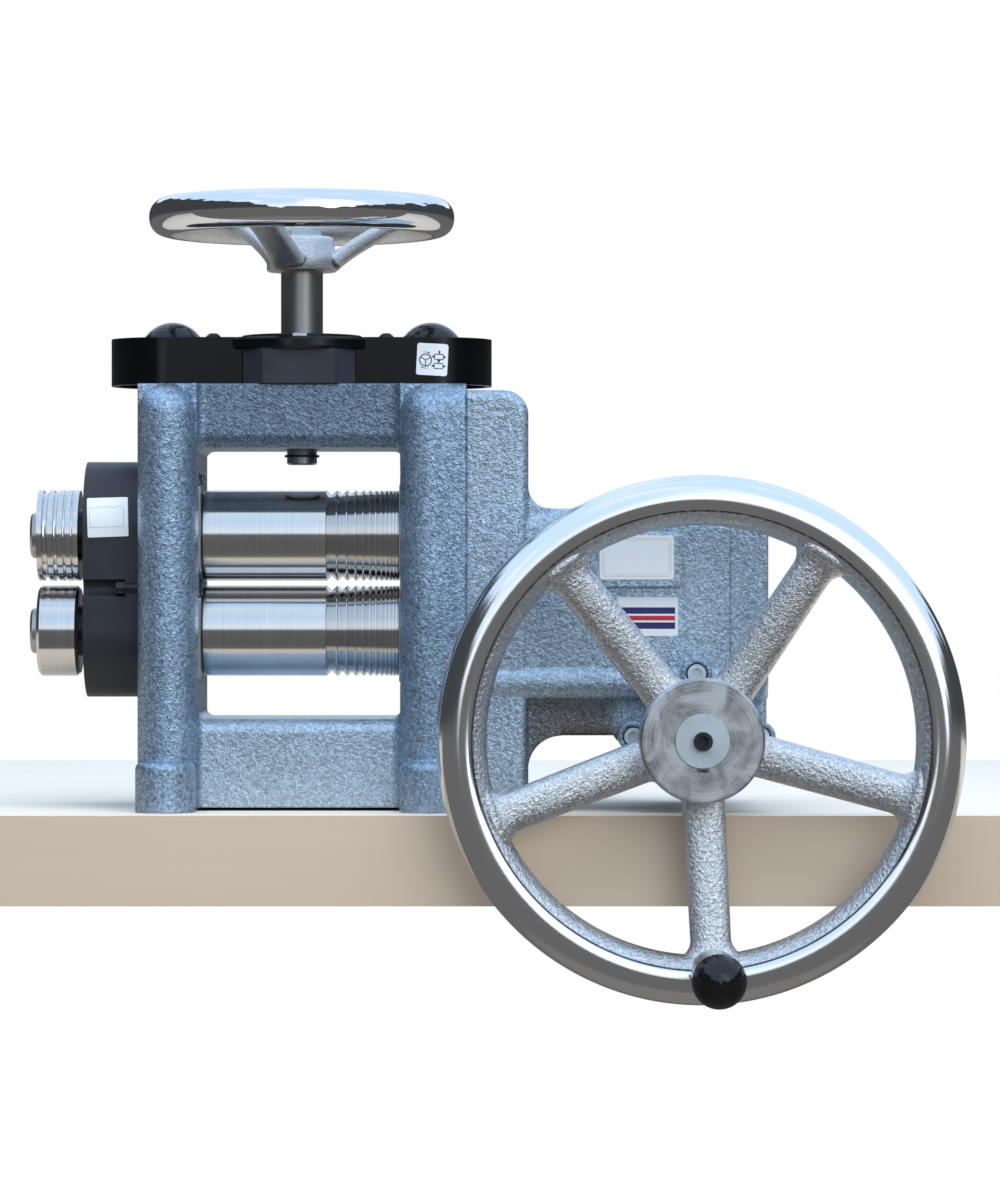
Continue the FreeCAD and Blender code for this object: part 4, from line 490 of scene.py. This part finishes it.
def hubFaceGrid(values, steps=240):
    # faced ring about the wheel's axis; its inner edge follows the bore and steps out to the slot's floor over the slot
    turn = fullTurn(steps)
    outer, bevel = values["hubRadius"], values["faceBevel"]
    slot = (np.abs(np.cos(turn)) * values["slotReach"] < values["slotHalfWidth"]) & (np.sin(turn) < 0)
    inner = np.where(slot, values["slotReach"], values["boreRadius"])
    rows = [(values["faceDepth"], outer), (bevel, outer), (0.3 * bevel, outer - 0.6 * bevel), (0.0, outer - bevel),
            (0.0, None), (values["faceDepth"], None)]
    points = np.zeros((steps, len(rows), 3))
    for i, (back, radius) in enumerate(rows):
        reach = inner if radius is None else np.full(steps, radius)
        points[:, i, 0] = crankCentre[0] + np.cos(turn) * reach
        points[:, i, 1] = hubFront + back
        points[:, i, 2] = crankCentre[2] + np.sin(turn) * reach
    return points, True, True


makePiece("crank_rim", [crankRimGrid(crankWheel)], crankRimLook, "crank_wheel", uvName="wheel")
crankSpokes = [crankSpokeGrid(crankWheel, angle) for angle in spokeTurns(crankWheel)]
spokesPiece = makePiece("crank_spokes", crankSpokes + [hubShellGrid(crankWheel)], castLook, "crank_wheel")
makePiece("crank_hub_face", [hubFaceGrid(crankWheel)], hubLook, "crank_wheel", smoothAngle=30)
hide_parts("crank_handwheel")
print("crank wheel: rim, spokes and hub face")


# hand wheel on top: dished, three rising spokes
topWheel = {"rimRadius": 0.0892, "halfWidth": 0.0125, "halfHeight": 0.0124, "rimZ": 0.3926, "rimExponent": 2.2,
            "spokes": 3, "turn": -24.0, "spokeFrom": 0.0205, "spokeTo": 0.0850, "hubLevel": 0.3652,
            "hubReach": 0.0235, "climb": 0.0441, "ease": 0.0118, "spokeHalfWidth": 0.0103,
            "spokeHalfHeight": 0.0054, "spokeExponent": 3.2, "rootWidth": 0.0030, "rootHeight": 0.0010,
            "hubFlare": 0.07, "rimFlare": 0.06,
            "hubProfile": [(0.3566, 0.0102), (0.3566, 0.0225), (0.3576, 0.0235), (0.3655, 0.0235), (0.3672, 0.0224),
                           (0.3770, 0.0215), (0.3792, 0.0205), (0.380, 0.0185), (0.380, 0.0102)]}  # height, radius


def topRimGrid(values, steps=224, around=64):
    # section = superellipse carried round the upright axis; v = 0 is outside and below it the cast band
    across, deep = superellipse(fullTurn(around), values["rimExponent"])
    radial = values["rimRadius"] + values["halfWidth"] * across
    level = values["rimZ"] + values["halfHeight"] * deep
    return ringGrid(2, (0, 0, 0), np.stack([level, radial], axis=-1), steps)


def topSpokeGrid(values, angle, steps=40, around=36):
    # centre line climbs from the hub as level + climb * t - ease * t squared; half width and half height flare at both
    # ends as exp(-share / flare); section = superellipse, square to the climb
    share = np.linspace(0, 1, steps)
    reach = values["spokeFrom"] + (values["spokeTo"] - values["spokeFrom"]) * share
    t = (reach - values["hubReach"]) / (values["spokeTo"] - values["hubReach"])
    level = values["hubLevel"] + values["climb"] * t - values["ease"] * t ** 2
    root = np.exp(-share / values["hubFlare"]) + np.exp(-(1 - share) / values["rimFlare"])
    width = values["spokeHalfWidth"] + values["rootWidth"] * root
    height = values["spokeHalfHeight"] + values["rootHeight"] * root
    across, deep = superellipse(fullTurn(around), values["spokeExponent"])
    climb = np.arctan(np.gradient(level, reach))
    alongOut = reach[:, None] - np.sin(climb)[:, None] * height[:, None] * deep
    rise = level[:, None] + np.cos(climb)[:, None] * height[:, None] * deep
    out = np.array([math.sin(angle), -math.cos(angle)])
    side = np.array([math.cos(angle), math.sin(angle)])
    points = np.zeros((steps, around, 3))
    points[..., 0] = alongOut * out[0] + width[:, None] * across * side[0]
    points[..., 1] = alongOut * out[1] + width[:, None] * across * side[1]
    points[..., 2] = rise
    return points, False, True


topRimPiece = makePiece("top_rim", [topRimGrid(topWheel)], topRimLook, "adjust_wheel", uvName="wheel")
topHub = ringGrid(2, (0, 0, 0), topWheel["hubProfile"], 96)
topSpokes = [topSpokeGrid(topWheel, angle) for angle in spokeTurns(topWheel)]
makePiece("top_spokes", topSpokes + [topHub], fineCastLook, "adjust_wheel")
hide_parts("adjust_handwheel")
print("top wheel: rim, spokes and hub")


# thin sheets and inked lines: each point is worked out on a sheet (u, v, height) and then laid on its carrier

def sheetPlace(start, across=(1, 0, 0), up=(0, 0, 1), bent=0, radius=1000.0, centre=(0.0, 0.0), tilt=0.0):
    # place = start + across * u + up * v + outward * height; where the bent one of u and v passes zero, the sheet
    # follows a circle: along = (radius + height) sin(arc / radius), out = (radius + height) cos(arc / radius) - radius
    start, across, up = (np.array(value, float) for value in (start, across, up))
    outward = np.cross(across, up)
    turn = math.radians(tilt)
    lineAxis, arcAxis = (up, across) if bent == 0 else (across, up)

    def place(u, v, height):
        a = centre[0] + u * math.cos(turn) - v * math.sin(turn)
        b = centre[1] + u * math.sin(turn) + v * math.cos(turn)
        line, arc = (b, a) if bent == 0 else (a, b)
        angle = np.clip(arc, 0, None) / radius
        along = np.clip(arc, None, 0) + (radius + height) * np.sin(angle)
        out = np.where(arc > 0, (radius + height) * np.cos(angle) - radius, height)
        return start + line[..., None] * lineAxis + along[..., None] * arcAxis + out[..., None] * outward
    return place


def roundedOutline(halfWidth, halfHeight, corner, steps=10, count=120):
    # rectangle with quarter-circle corners, then evenly spaced along its length
    turn = np.linspace(0, math.pi / 2, steps)
    loop = np.concatenate([np.stack([sx * (halfWidth - corner) + corner * np.cos(turn + i * math.pi / 2),
                                     sy * (halfHeight - corner) + corner * np.sin(turn + i * math.pi / 2)], -1)
                           for i, (sx, sy) in enumerate(((1, 1), (-1, 1), (-1, -1), (1, -1)))])
    closed = np.concatenate([loop, loop[:1]])
    length = np.concatenate([[0], np.cumsum(np.linalg.norm(np.diff(closed, axis=0), axis=1))])
    even = np.arange(count) * length[-1] / count
    return np.stack([np.interp(even, length, closed[:, 0]), np.interp(even, length, closed[:, 1])], -1)


def sheetGrid(outline, thickness, place, rings=8, sink=0.00004):
    # rings are the outline times a share: out from the middle at the back, over the edge, back to the middle in front
    share = np.concatenate([np.linspace(0.02, 1, rings), [1.0], np.linspace(0.997, 0.02, rings)])
    height = np.concatenate([np.full(rings, -sink), [0.7 * thickness], np.full(rings, thickness)])
    u = share[:, None] * outline[:, 0]
    v = share[:, None] * outline[:, 1]
    return place(u, v, np.broadcast_to(height[:, None], u.shape)), False, True


def lineGrid(path, width, span, place, closed=False):
    # flat bar along the path: path + and - unit normal * width / 2, between the two heights of span
    path = np.asarray(path, float)
    along = np.roll(path, -1, 0) - np.roll(path, 1, 0) if closed else np.gradient(path, axis=0)
    along /= np.linalg.norm(along, axis=1, keepdims=True)
    normal = np.stack([-along[:, 1], along[:, 0]], -1) * (np.broadcast_to(width, len(path)) / 2)[:, None]
    left, right = path + normal, path - normal
    u = np.stack([left[:, 0], right[:, 0], right[:, 0], left[:, 0]], 1)
    v = np.stack([left[:, 1], right[:, 1], right[:, 1], left[:, 1]], 1)
    return place(u, v, np.broadcast_to(np.repeat(span, 2), u.shape)), closed, True


def arcPath(centre, radius, first, last, count):
    # points of a circle from the first to the last angle, in degrees
    turn = np.radians(np.linspace(first, last, count))
    return np.stack([centre[0] + radius * np.cos(turn), centre[1] + radius * np.sin(turn)], -1)


def addLines(name, grids, look, body="frame"):
    makePiece(name, grids, look, body, smoothAngle=40)


def addSheet(name, values, place, look):
    outline = roundedOutline(values["halfWidth"], values["halfHeight"], values["corner"])
    addLines(name, [sheetGrid(outline, values["thickness"], place)], look)


labelLook = makeGrained("label_white", rgb(0.90, 0.93, 0.96), rgb(0.95, 0.97, 0.99), grain=700.0, roughness=0.25,
                        haze=0.12, depth=0.000004, Coat_Weight=0.4, Coat_Roughness=0.15)
ink = {"grain": 1500.0, "haze": 0.1, "depth": 0.000002}
inkLook = makeGrained("label_ink", rgb(0.012, 0.013, 0.02), rgb(0.03, 0.032, 0.045), roughness=0.4, **ink)
paleInkLook = makeGrained("label_line", rgb(0.20, 0.22, 0.30), rgb(0.28, 0.30, 0.38), roughness=0.4, **ink)
plateLineLook = makeGrained("plate_line", rgb(0.55, 0.50, 0.42), rgb(0.68, 0.63, 0.54), roughness=0.4, **ink)
redLook = makeGrained("label_red", rgb(0.50, 0.02, 0.035), rgb(0.62, 0.035, 0.05), roughness=0.35, **ink)
blueLook = makeGrained("label_blue", rgb(0.015, 0.02, 0.11), rgb(0.03, 0.035, 0.17), roughness=0.35, **ink)
dialLook = makeGrained("dial_black", rgb(0.008, 0.008, 0.009), rgb(0.016, 0.016, 0.018), grain=1800.0, roughness=0.3,
                       haze=0.1, depth=0.00003, edge=0.0003)

# label on the pinion cover, round which it bends: bare but for a thin frame with a wavy top
pinionLabel = {"halfWidth": 0.01345, "halfHeight": 0.0133, "corner": 0.0007, "thickness": 0.00022, "tilt": 2.0,
               "x": -0.12605, "arcFrom": 0.1859, "radius": 0.044, "v": 0.0069, "line": 0.0002,
               "ink": (-0.00002, 0.00003), "wave": (-0.0118, 0.0100, 60), "waveTop": 0.0072, "waveDip": 0.0012,
               "waves": 3.5,
               "sides": (((0.0104, 0.0062), (0.0104, -0.0064), 16), ((0.0100, -0.0068), (-0.0116, -0.0068), 24),
                         ((-0.0119, -0.0064), (-0.0119, 0.0062), 16))}  # wave and sides: first, last, count
pinionPlace = sheetPlace((pinionLabel["x"], -pinionLabel["radius"], pinionLabel["arcFrom"]), bent=1,
                         radius=pinionLabel["radius"], centre=(0, pinionLabel["v"]), tilt=pinionLabel["tilt"])
addSheet("pinion_label", pinionLabel, pinionPlace, labelLook)
waveU = np.linspace(*pinionLabel["wave"])
waveTurn = np.linspace(0, pinionLabel["waves"] * math.pi, len(waveU))
waveV = pinionLabel["waveTop"] - pinionLabel["waveDip"] * np.abs(np.sin(waveTurn))
frameLine = np.concatenate([np.stack([waveU, waveV], -1)] + [np.linspace(*side) for side in pinionLabel["sides"]])
inkSpan = np.add(pinionLabel["thickness"], pinionLabel["ink"])
addLines("pinion_label_line", [lineGrid(frameLine, pinionLabel["line"], inkSpan, pinionPlace, True)], paleInkLook)

# sign on the top cover: a hand wheel with two turning arrows, and two rolls with a screw above
coverSign = {"halfWidth": 0.0103, "halfHeight": 0.0105, "corner": 0.0016, "thickness": 0.00022, "tilt": -3.0,
             "start": (0.0865, -0.044, 0.2962), "u": 0.0010, "radius": 0.040, "ink": (-0.00002, 0.00003),
             "line": 0.0006, "wheelLine": 0.0007, "wheelAt": (-0.0044, -0.0006), "wheelRadius": 0.0039,
             "spokeAngles": (30, 150, 270), "spokeLength": 0.0037, "arrowRadius": 0.0053,
             "arrows": ((112, 58), (-68, -122)), "arrowPoints": (0, 10, 11, 15),
             "arrowWidths": (0.0002, 0.0004, 0.0010, 0.0001), "rollU": 0.0043, "rollLevels": (0.0019, -0.0041),
             "roll": (0.0029, 0.0017, 0.0007), "journal": (0.0032, 0.0044), "journalWidth": 0.0012,
             "screw": ((0.0044, 0.0060), (0.0044, 0.0040)), "screwWidth": 0.0010,
             "wedge": ((0.0043, -0.0001), (0.0043, -0.0012), (0.0043, -0.0021)),
             "wedgeWidths": (0.0024, 0.0013, 0.0003)}
signPlace = sheetPlace(coverSign["start"], radius=coverSign["radius"], centre=(coverSign["u"], 0),
                       tilt=coverSign["tilt"])
addSheet("cover_sign", coverSign, signPlace, labelLook)


def signLines(values, place):
    # in the order they are drawn: hand wheel and its spokes, arrows, rolls with their journals, screw, wedge
    span = np.add(values["thickness"], values["ink"])
    wheelAt, last = values["wheelAt"], values["arrowPoints"][-1]
    grids = [lineGrid(arcPath(wheelAt, values["wheelRadius"], 0, 350, 36), values["wheelLine"], span, place, True)]
    for angle in values["spokeAngles"]:
        tip = arcPath(wheelAt, values["spokeLength"], angle, angle, 1)[0]
        grids.append(lineGrid([wheelAt, tip], values["line"], span, place))
    widths = np.interp(np.arange(last + 1), values["arrowPoints"], values["arrowWidths"])
    for tail, head in values["arrows"]:
        grids.append(lineGrid(arcPath(wheelAt, values["arrowRadius"], tail, head, last + 1), widths, span, place))
    for level in values["rollLevels"]:
        barrel = roundedOutline(*values["roll"], count=60) + (values["rollU"], level)
        grids.append(lineGrid(barrel, values["line"], span, place, True))
        for end in (-1, 1):
            journal = [(values["rollU"] + reach * end, level) for reach in values["journal"]]
            grids.append(lineGrid(journal, values["journalWidth"], span, place))
    grids.append(lineGrid(values["screw"], values["screwWidth"], span, place))
    grids.append(lineGrid(values["wedge"], values["wedgeWidths"], span, place))
    return grids


addLines("cover_sign_lines", signLines(coverSign, signPlace), inkLook)

# plate on the gearbox's raised pad: bare, with a fine double border
padPlate = {"halfWidth": 0.0242, "halfHeight": 0.01435, "corner": 0.0018, "thickness": 0.0004,
            "start": (0.2210, -0.076, 0.16575), "insets": (0.0020, 0.0029), "lineCorner": 0.0014, "line": 0.00022,
            "ink": (-0.00002, 0.00004)}
platePlace = sheetPlace(padPlate["start"])
addSheet("pad_plate", padPlate, platePlace, labelLook)
plateSpan = np.add(padPlate["thickness"], padPlate["ink"])
plateBorders = []
for inset in padPlate["insets"]:
    loop = roundedOutline(padPlate["halfWidth"] - inset, padPlate["halfHeight"] - inset, padPlate["lineCorner"])
    plateBorders.append(lineGrid(loop, padPlate["line"], plateSpan, platePlace, True))
addLines("pad_plate_lines", plateBorders, plateLineLook)

# coloured sticker under it: plain bands, each a little shorter and higher than the one below
bandSticker = {"halfWidth": 0.0199, "halfHeight": 0.0127, "corner": 0.0012, "thickness": 0.00022,
               "start": (0.2281, -0.072, 0.1273), "v": -0.0010}
stickerBands = {"sticker_field": {"look": blueLook, "half": 0.0180, "width": 0.0140, "ink": (-0.00002, 0.00004)},
                "sticker_band": {"look": labelLook, "half": 0.0178, "width": 0.0056, "ink": (0.00002, 0.00008)},
                "sticker_stripe": {"look": redLook, "half": 0.0177, "width": 0.0030, "ink": (0.00006, 0.00012)}}
stickerPlace = sheetPlace(bandSticker["start"])
addSheet("band_sticker", bandSticker, stickerPlace, labelLook)
for name, band in stickerBands.items():
    path = [(-band["half"], bandSticker["v"]), (band["half"], bandSticker["v"])]
    bandSpan = np.add(bandSticker["thickness"], band["ink"])
    addLines(name, [lineGrid(path, band["width"], bandSpan, stickerPlace)], band["look"])
print("labels: pinion cover, top cover, pad plate, sticker")

# dial on the upright shaft: a disc with ticks and numbers that turns with the wheel, and a fixed pointer on the cover
dial = {"outer": 0.0400, "inner": 0.01405, "low": 0.3113, "high": 0.3138, "bevel": 0.0005, "redBand": 0.0006,
        "bandInset": 0.001, "steps": 160, "ticks": 50, "longEvery": 5, "longTick": 0.0052, "shortTick": 0.0030,
        "tickInset": 0.0003, "tickWidth": 0.00035, "numberReach": 0.0290, "numberHeight": 0.0046, "numberWidth": 0.0026,
        "stroke": 0.0005, "ink": (-0.00002, 0.00004)}
digitPaths = {"0": [(-1, -1), (-1, 1), (1, 1), (1, -1)], "1": [(-0.5, 0.6), (0, 1), (0, -1)],
              "2": [(-1, 1), (1, 1), (1, 0), (-1, 0), (-1, -1), (1, -1)],
              "3": [(-1, 1), (1, 1), (0, 0.1), (1, -0.3), (1, -1), (-1, -1)],
              "4": [(0.6, -1), (0.6, 1), (-1, -0.3), (1, -0.3)],
              "5": [(1, 1), (-1, 1), (-1, 0.1), (1, 0.1), (1, -1), (-1, -1)],
              "6": [(1, 1), (-1, 0.4), (-1, -1), (1, -1), (1, 0), (-0.8, 0)], "7": [(-1, 1), (1, 1), (-0.2, -1)],
              "8": [(-1, 0), (-1, 1), (1, 1), (1, 0), (1, -1), (-1, -1), (-1, 0), (0.8, 0)],
              "9": [(1, 0), (-1, 0), (-1, 1), (1, 1), (1, -1), (-0.6, -1)]}
discLow, discEdge = dial["low"] + dial["redBand"], dial["outer"] - dial["bevel"]
bandInner = dial["inner"] + dial["bandInset"]
discProfile = [(discLow, dial["inner"]), (discLow, dial["outer"] - dial["bevel"] / 2),
               (dial["high"] - dial["bevel"], dial["outer"]), (dial["high"], discEdge), (dial["high"], dial["inner"])]
bandProfile = [(dial["low"], bandInner), (dial["low"], discEdge), (discLow, discEdge), (discLow, bandInner)]
for name, profile, look in (("dial_disc", discProfile, dialLook), ("dial_band", bandProfile, redLook)):
    addLines(name, [ringGrid(2, (0, 0, 0), profile, dial["steps"])], look, "adjust_wheel")


def dialPlace(turn, reach):
    # sheet that lies on the disc at this turn and reach, its upward side to the middle
    across = (math.cos(turn), math.sin(turn), 0)
    up = (-math.sin(turn), math.cos(turn), 0)
    return sheetPlace((reach * math.sin(turn), -reach * math.cos(turn), dial["high"]), across, up)


dialMarks = []
for i in range(dial["ticks"]):
    length = dial["shortTick"] if i % dial["longEvery"] else dial["longTick"]
    placeTick = dialPlace(2 * math.pi * i / dial["ticks"], discEdge - dial["tickInset"])
    dialMarks.append(lineGrid([(0, 0), (0, length)], dial["tickWidth"], dial["ink"], placeTick))
for digit, path in digitPaths.items():
    placeDigit = dialPlace(2 * math.pi * int(digit) / len(digitPaths), dial["numberReach"])
    shape = np.array(path) * (dial["numberWidth"] / 2, dial["numberHeight"] / 2)
    dialMarks.append(lineGrid(shape, dial["stroke"], dial["ink"], placeDigit, digit == "0"))
addLines("dial_marks", dialMarks, labelLook, "adjust_wheel")

# pointer: a low block on the cover's lip that narrows towards the disc, with a red line on its top
pointer = {"x": 0.0008, "halfWidth": 0.0047, "front": -0.0560, "back": -0.0410, "base": 0.3110, "height": 0.0026,
           "narrowing": 0.72, "narrowPower": 1.6, "frontShare": 0.72, "rampRate": 5, "exponent": 5,
           "line": ((0, -0.0535), (0, -0.0415)), "lineWidth": 0.0009, "ink": (-0.00003, 0.00005)}


def pointerGrid(values, steps=16, around=17):
    # share runs from front to back: half width = plain half width * (1 - narrowing * share to a power), height rises
    # behind the front end as a sine; each section is the upper half of a superellipse
    share = np.linspace(0, 1, steps)
    y = values["front"] + (values["back"] - values["front"]) * share
    half = values["halfWidth"] * (1 - values["narrowing"] * share ** values["narrowPower"])
    ramp = np.sin(np.minimum(share * values["rampRate"], 1) * math.pi / 2)
    top = values["height"] * (values["frontShare"] + (1 - values["frontShare"]) * ramp)
    across, rise = superellipse(np.linspace(0, math.pi, around), values["exponent"])
    points = np.zeros((steps, around, 3))
    points[..., 0] = values["x"] + half[:, None] * across
    points[..., 1] = y[:, None]
    points[..., 2] = values["base"] + top[:, None] * rise
    return points, False, True


addLines("dial_pointer", [pointerGrid(pointer)], zincLook)
pointerPlace = sheetPlace((pointer["x"], 0, pointer["base"] + pointer["height"]), (1, 0, 0), (0, 1, 0))
addLines("pointer_line", [lineGrid(pointer["line"], pointer["lineWidth"], pointer["ink"], pointerPlace)], redLook)
print("dial: disc, marks, pointer")


# stage: pale bench whose front edge lets the crank wheel hang free
benchValues = {"front": -0.125, "back": 0.88, "half": 3.0, "thick": 0.058, "drop": 0.0001, "roughness": 0.55,
               "grain": 3.0, "stretch": (1.2, 14.0, 14.0), "warm": (rgb(0.60, 0.49, 0.37), rgb(0.68, 0.57, 0.45)),
               "top": (rgb(0.84, 0.76, 0.64), rgb(0.91, 0.84, 0.73)),
               "edge": (rgb(0.80, 0.615, 0.455), rgb(0.855, 0.67, 0.50))}


def makeBenchLook(name, colours, values):
    # these colours to the camera, the warm ones to every other ray
    material, tree, shader = newLook(name, Roughness=values["roughness"])
    grain = noise(tree, objectPlace(tree, scale=values["stretch"]), values["grain"], 4.0)
    warm = blendColours(tree, grain, *values["warm"])
    pale = blendColours(tree, grain, *colours)
    seen = addNode(tree, "ShaderNodeLightPath").outputs["Is Camera Ray"]
    tree.links.new(blendColours(tree, seen, warm, pale), shader.inputs["Base Color"])
    return material


def makeBench(values):
    x, y0, y1, z = values["half"], values["front"], values["back"], -values["thick"]
    corners = [(sx * x, y, h) for h in (z, 0.0) for y in (y0, y1) for sx in (-1, 1)]
    mesh = bpy.data.meshes.new("bench")
    mesh.from_pydata(corners, [], [(0, 2, 3, 1), (4, 5, 7, 6), (0, 1, 5, 4), (2, 6, 7, 3), (0, 4, 6, 2), (1, 3, 7, 5)])
    mesh.materials.append(makeBenchLook("bench_pale", values["top"], values))
    mesh.materials.append(makeBenchLook("bench_edge", values["edge"], values))
    mesh.polygons[2].material_index = 1  # front face
    bench = bpy.data.objects.new("bench", mesh)
    bpy.context.scene.collection.objects.link(bench)
    bench.location.z = -values["drop"]


makeBench(benchValues)

lamps = {"overhead": {"place": (0.1, -0.7, 2.1), "aim": (0.1, 0, 0.2), "size": (2.4, 1.2), "power": 37,
                      "colour": (0.95, 0.975, 1.0)},
         "frontKey": {"place": (1.3, -2.7, 1.0), "aim": (0.15, 0, 0.1), "size": (2.0, 1.8), "power": 12,
                      "colour": (0.98, 0.99, 1.0)}}
for name, values in lamps.items():
    # no mirror image of the lamp itself, so polished faces show only the plain surroundings
    lamp = bpy.data.lights.new(name, "AREA")
    lamp.shape = "RECTANGLE"
    lamp.size, lamp.size_y = values["size"]
    lamp.energy = values["power"]
    lamp.color = values["colour"]
    holder = bpy.data.objects.new(name, lamp)
    holder.location = values["place"]
    direction = np.array(values["aim"]) - np.array(values["place"])
    holder.rotation_euler = Vector(direction).to_track_quat("-Z", "Y").to_euler()
    holder.visible_camera = False
    holder.visible_glossy = False
    bpy.context.scene.collection.objects.link(holder)

# each pair gives the directions between which one part of the surroundings passes into the next
studio = {"skyLow": rgb(0.93, 0.98, 1.03), "skyHigh": rgb(0.58, 0.78, 1.06), "skyZ": (0.03, 0.40),
          "wall": rgb(0.045, 0.05, 0.055), "wallZ": (-0.02, 0.05), "ground": rgb(0.118, 0.118, 0.120),
          "near": rgb(0.175, 0.165, 0.155), "nearZ": (-0.84, -0.72), "horizon": -0.04, "horizonBlend": (-0.012, 0.02),
          "sideRise": 0.75, "sideX": (0.25, 0.95), "rightShare": 0.62, "rearRise": 0.25, "rearY": (0.0, 0.7),
          "doorX": (0.16, 0.22), "doorTop": 0.060, "sway": 0.12, "swayX": (0.15, 0.5), "cloudShare": 0.75,
          "glow": (0.42, -0.87, 0.26), "glowFrom": 0.86, "glowColour": rgb(1.35, 1.5, 1.6), "strength": 1.12,
          "whiteY": (0.985, 0.998), "whiteZ": (0.02, 0.06)}


def makeStudio(values):
    # bright upper half, dark lower half; the border between them rises to the sides and to the rear, and a dark
    # doorway stands right in front; the camera sees plain white, and so do mirrors straight to the rear above level
    world = bpy.data.worlds.new("studio")
    bpy.context.scene.world = world
    world.use_nodes = True
    tree = world.node_tree
    background = tree.nodes["Background"]
    direction = addNode(tree, "ShaderNodeTexCoord").outputs["Generated"]
    x, y, z = splitVector(tree, direction)
    side = maths(tree, "MAXIMUM", times(tree, x, -1.0), times(tree, x, values["rightShare"]))
    waves = noise(tree, direction, 5.0, 3.0)
    sway = times(tree, spread(tree, waves, 0.35, 0.65, -values["sway"], values["sway"]),
                 spread(tree, side, *values["swayX"]))
    border = plus(tree, spread(tree, side, *values["sideX"], values["horizon"], values["sideRise"]), sway)
    border = plus(tree, border, spread(tree, y, *values["rearY"], 0.0, values["rearRise"]))
    door = spread(tree, side, *values["doorX"], values["doorTop"], values["horizon"])
    border = maths(tree, "MAXIMUM", border, door)
    above = spread(tree, maths(tree, "SUBTRACT", z, border), *values["horizonBlend"])
    sky = blendColours(tree, spread(tree, z, *values["skyZ"]), values["skyLow"], values["skyHigh"])
    clouds = spread(tree, noise(tree, direction, 2.3, 4.0), 0.52, 0.72, 0.0, values["cloudShare"])
    sky = blendColours(tree, clouds, sky, values["skyLow"])
    facing = addNode(tree, "ShaderNodeVectorMath", {0: direction, 1: values["glow"]}, operation="DOT_PRODUCT")
    glow = addNode(tree, "ShaderNodeMapRange", {"Value": facing.outputs["Value"], "From Min": values["glowFrom"],
                                                "From Max": 1.0}, interpolation_type="SMOOTHSTEP")
    sky = blendColours(tree, glow.outputs["Result"], sky, values["glowColour"])
    ground = blendColours(tree, spread(tree, z, *values["nearZ"]), values["near"], values["ground"])
    ground = blendColours(tree, spread(tree, z, *values["wallZ"]), ground, values["wall"])
    tree.links.new(blendColours(tree, above, ground, sky), background.inputs["Color"])
    background.inputs["Strength"].default_value = values["strength"]
    ray = addNode(tree, "ShaderNodeLightPath")
    behind = times(tree, spread(tree, y, *values["whiteY"]), spread(tree, z, *values["whiteZ"]))
    shiny = maths(tree, "MAXIMUM", ray.outputs["Is Glossy Ray"], ray.outputs["Is Transmission Ray"])
    seen = maths(tree, "MAXIMUM", ray.outputs["Is Camera Ray"], times(tree, shiny, behind))
    white = addNode(tree, "ShaderNodeBackground", {"Color": rgb(1, 1, 1), "Strength": 1.0})
    mixer = addNode(tree, "ShaderNodeMixShader", {0: seen, 1: background.outputs[0], 2: white.outputs[0]})
    tree.links.new(mixer.outputs[0], tree.nodes["World Output"].inputs["Surface"])


makeStudio(studio)

view = {"place": (0.132, -3.2, 0.1446), "sensor": 36.0, "focal": 4800, "width": 1200, "shift": -10, "far": 50}
camera = bpy.data.cameras.new("camera")
camera.sensor_width = view["sensor"]
camera.lens = view["sensor"] * view["focal"] / view["width"]  # focal, width and shift in pixels
camera.shift_y = view["shift"] / view["width"]
camera.clip_end = view["far"]
cameraHolder = bpy.data.objects.new("camera", camera)
cameraHolder.location = view["place"]
cameraHolder.rotation_euler = (math.pi / 2, 0, 0)
bpy.context.scene.collection.objects.link(cameraHolder)
bpy.context.scene.camera = cameraHolder
bpy.context.scene.view_settings.view_transform = "Standard"
print("stage: bench, lamps, camera")
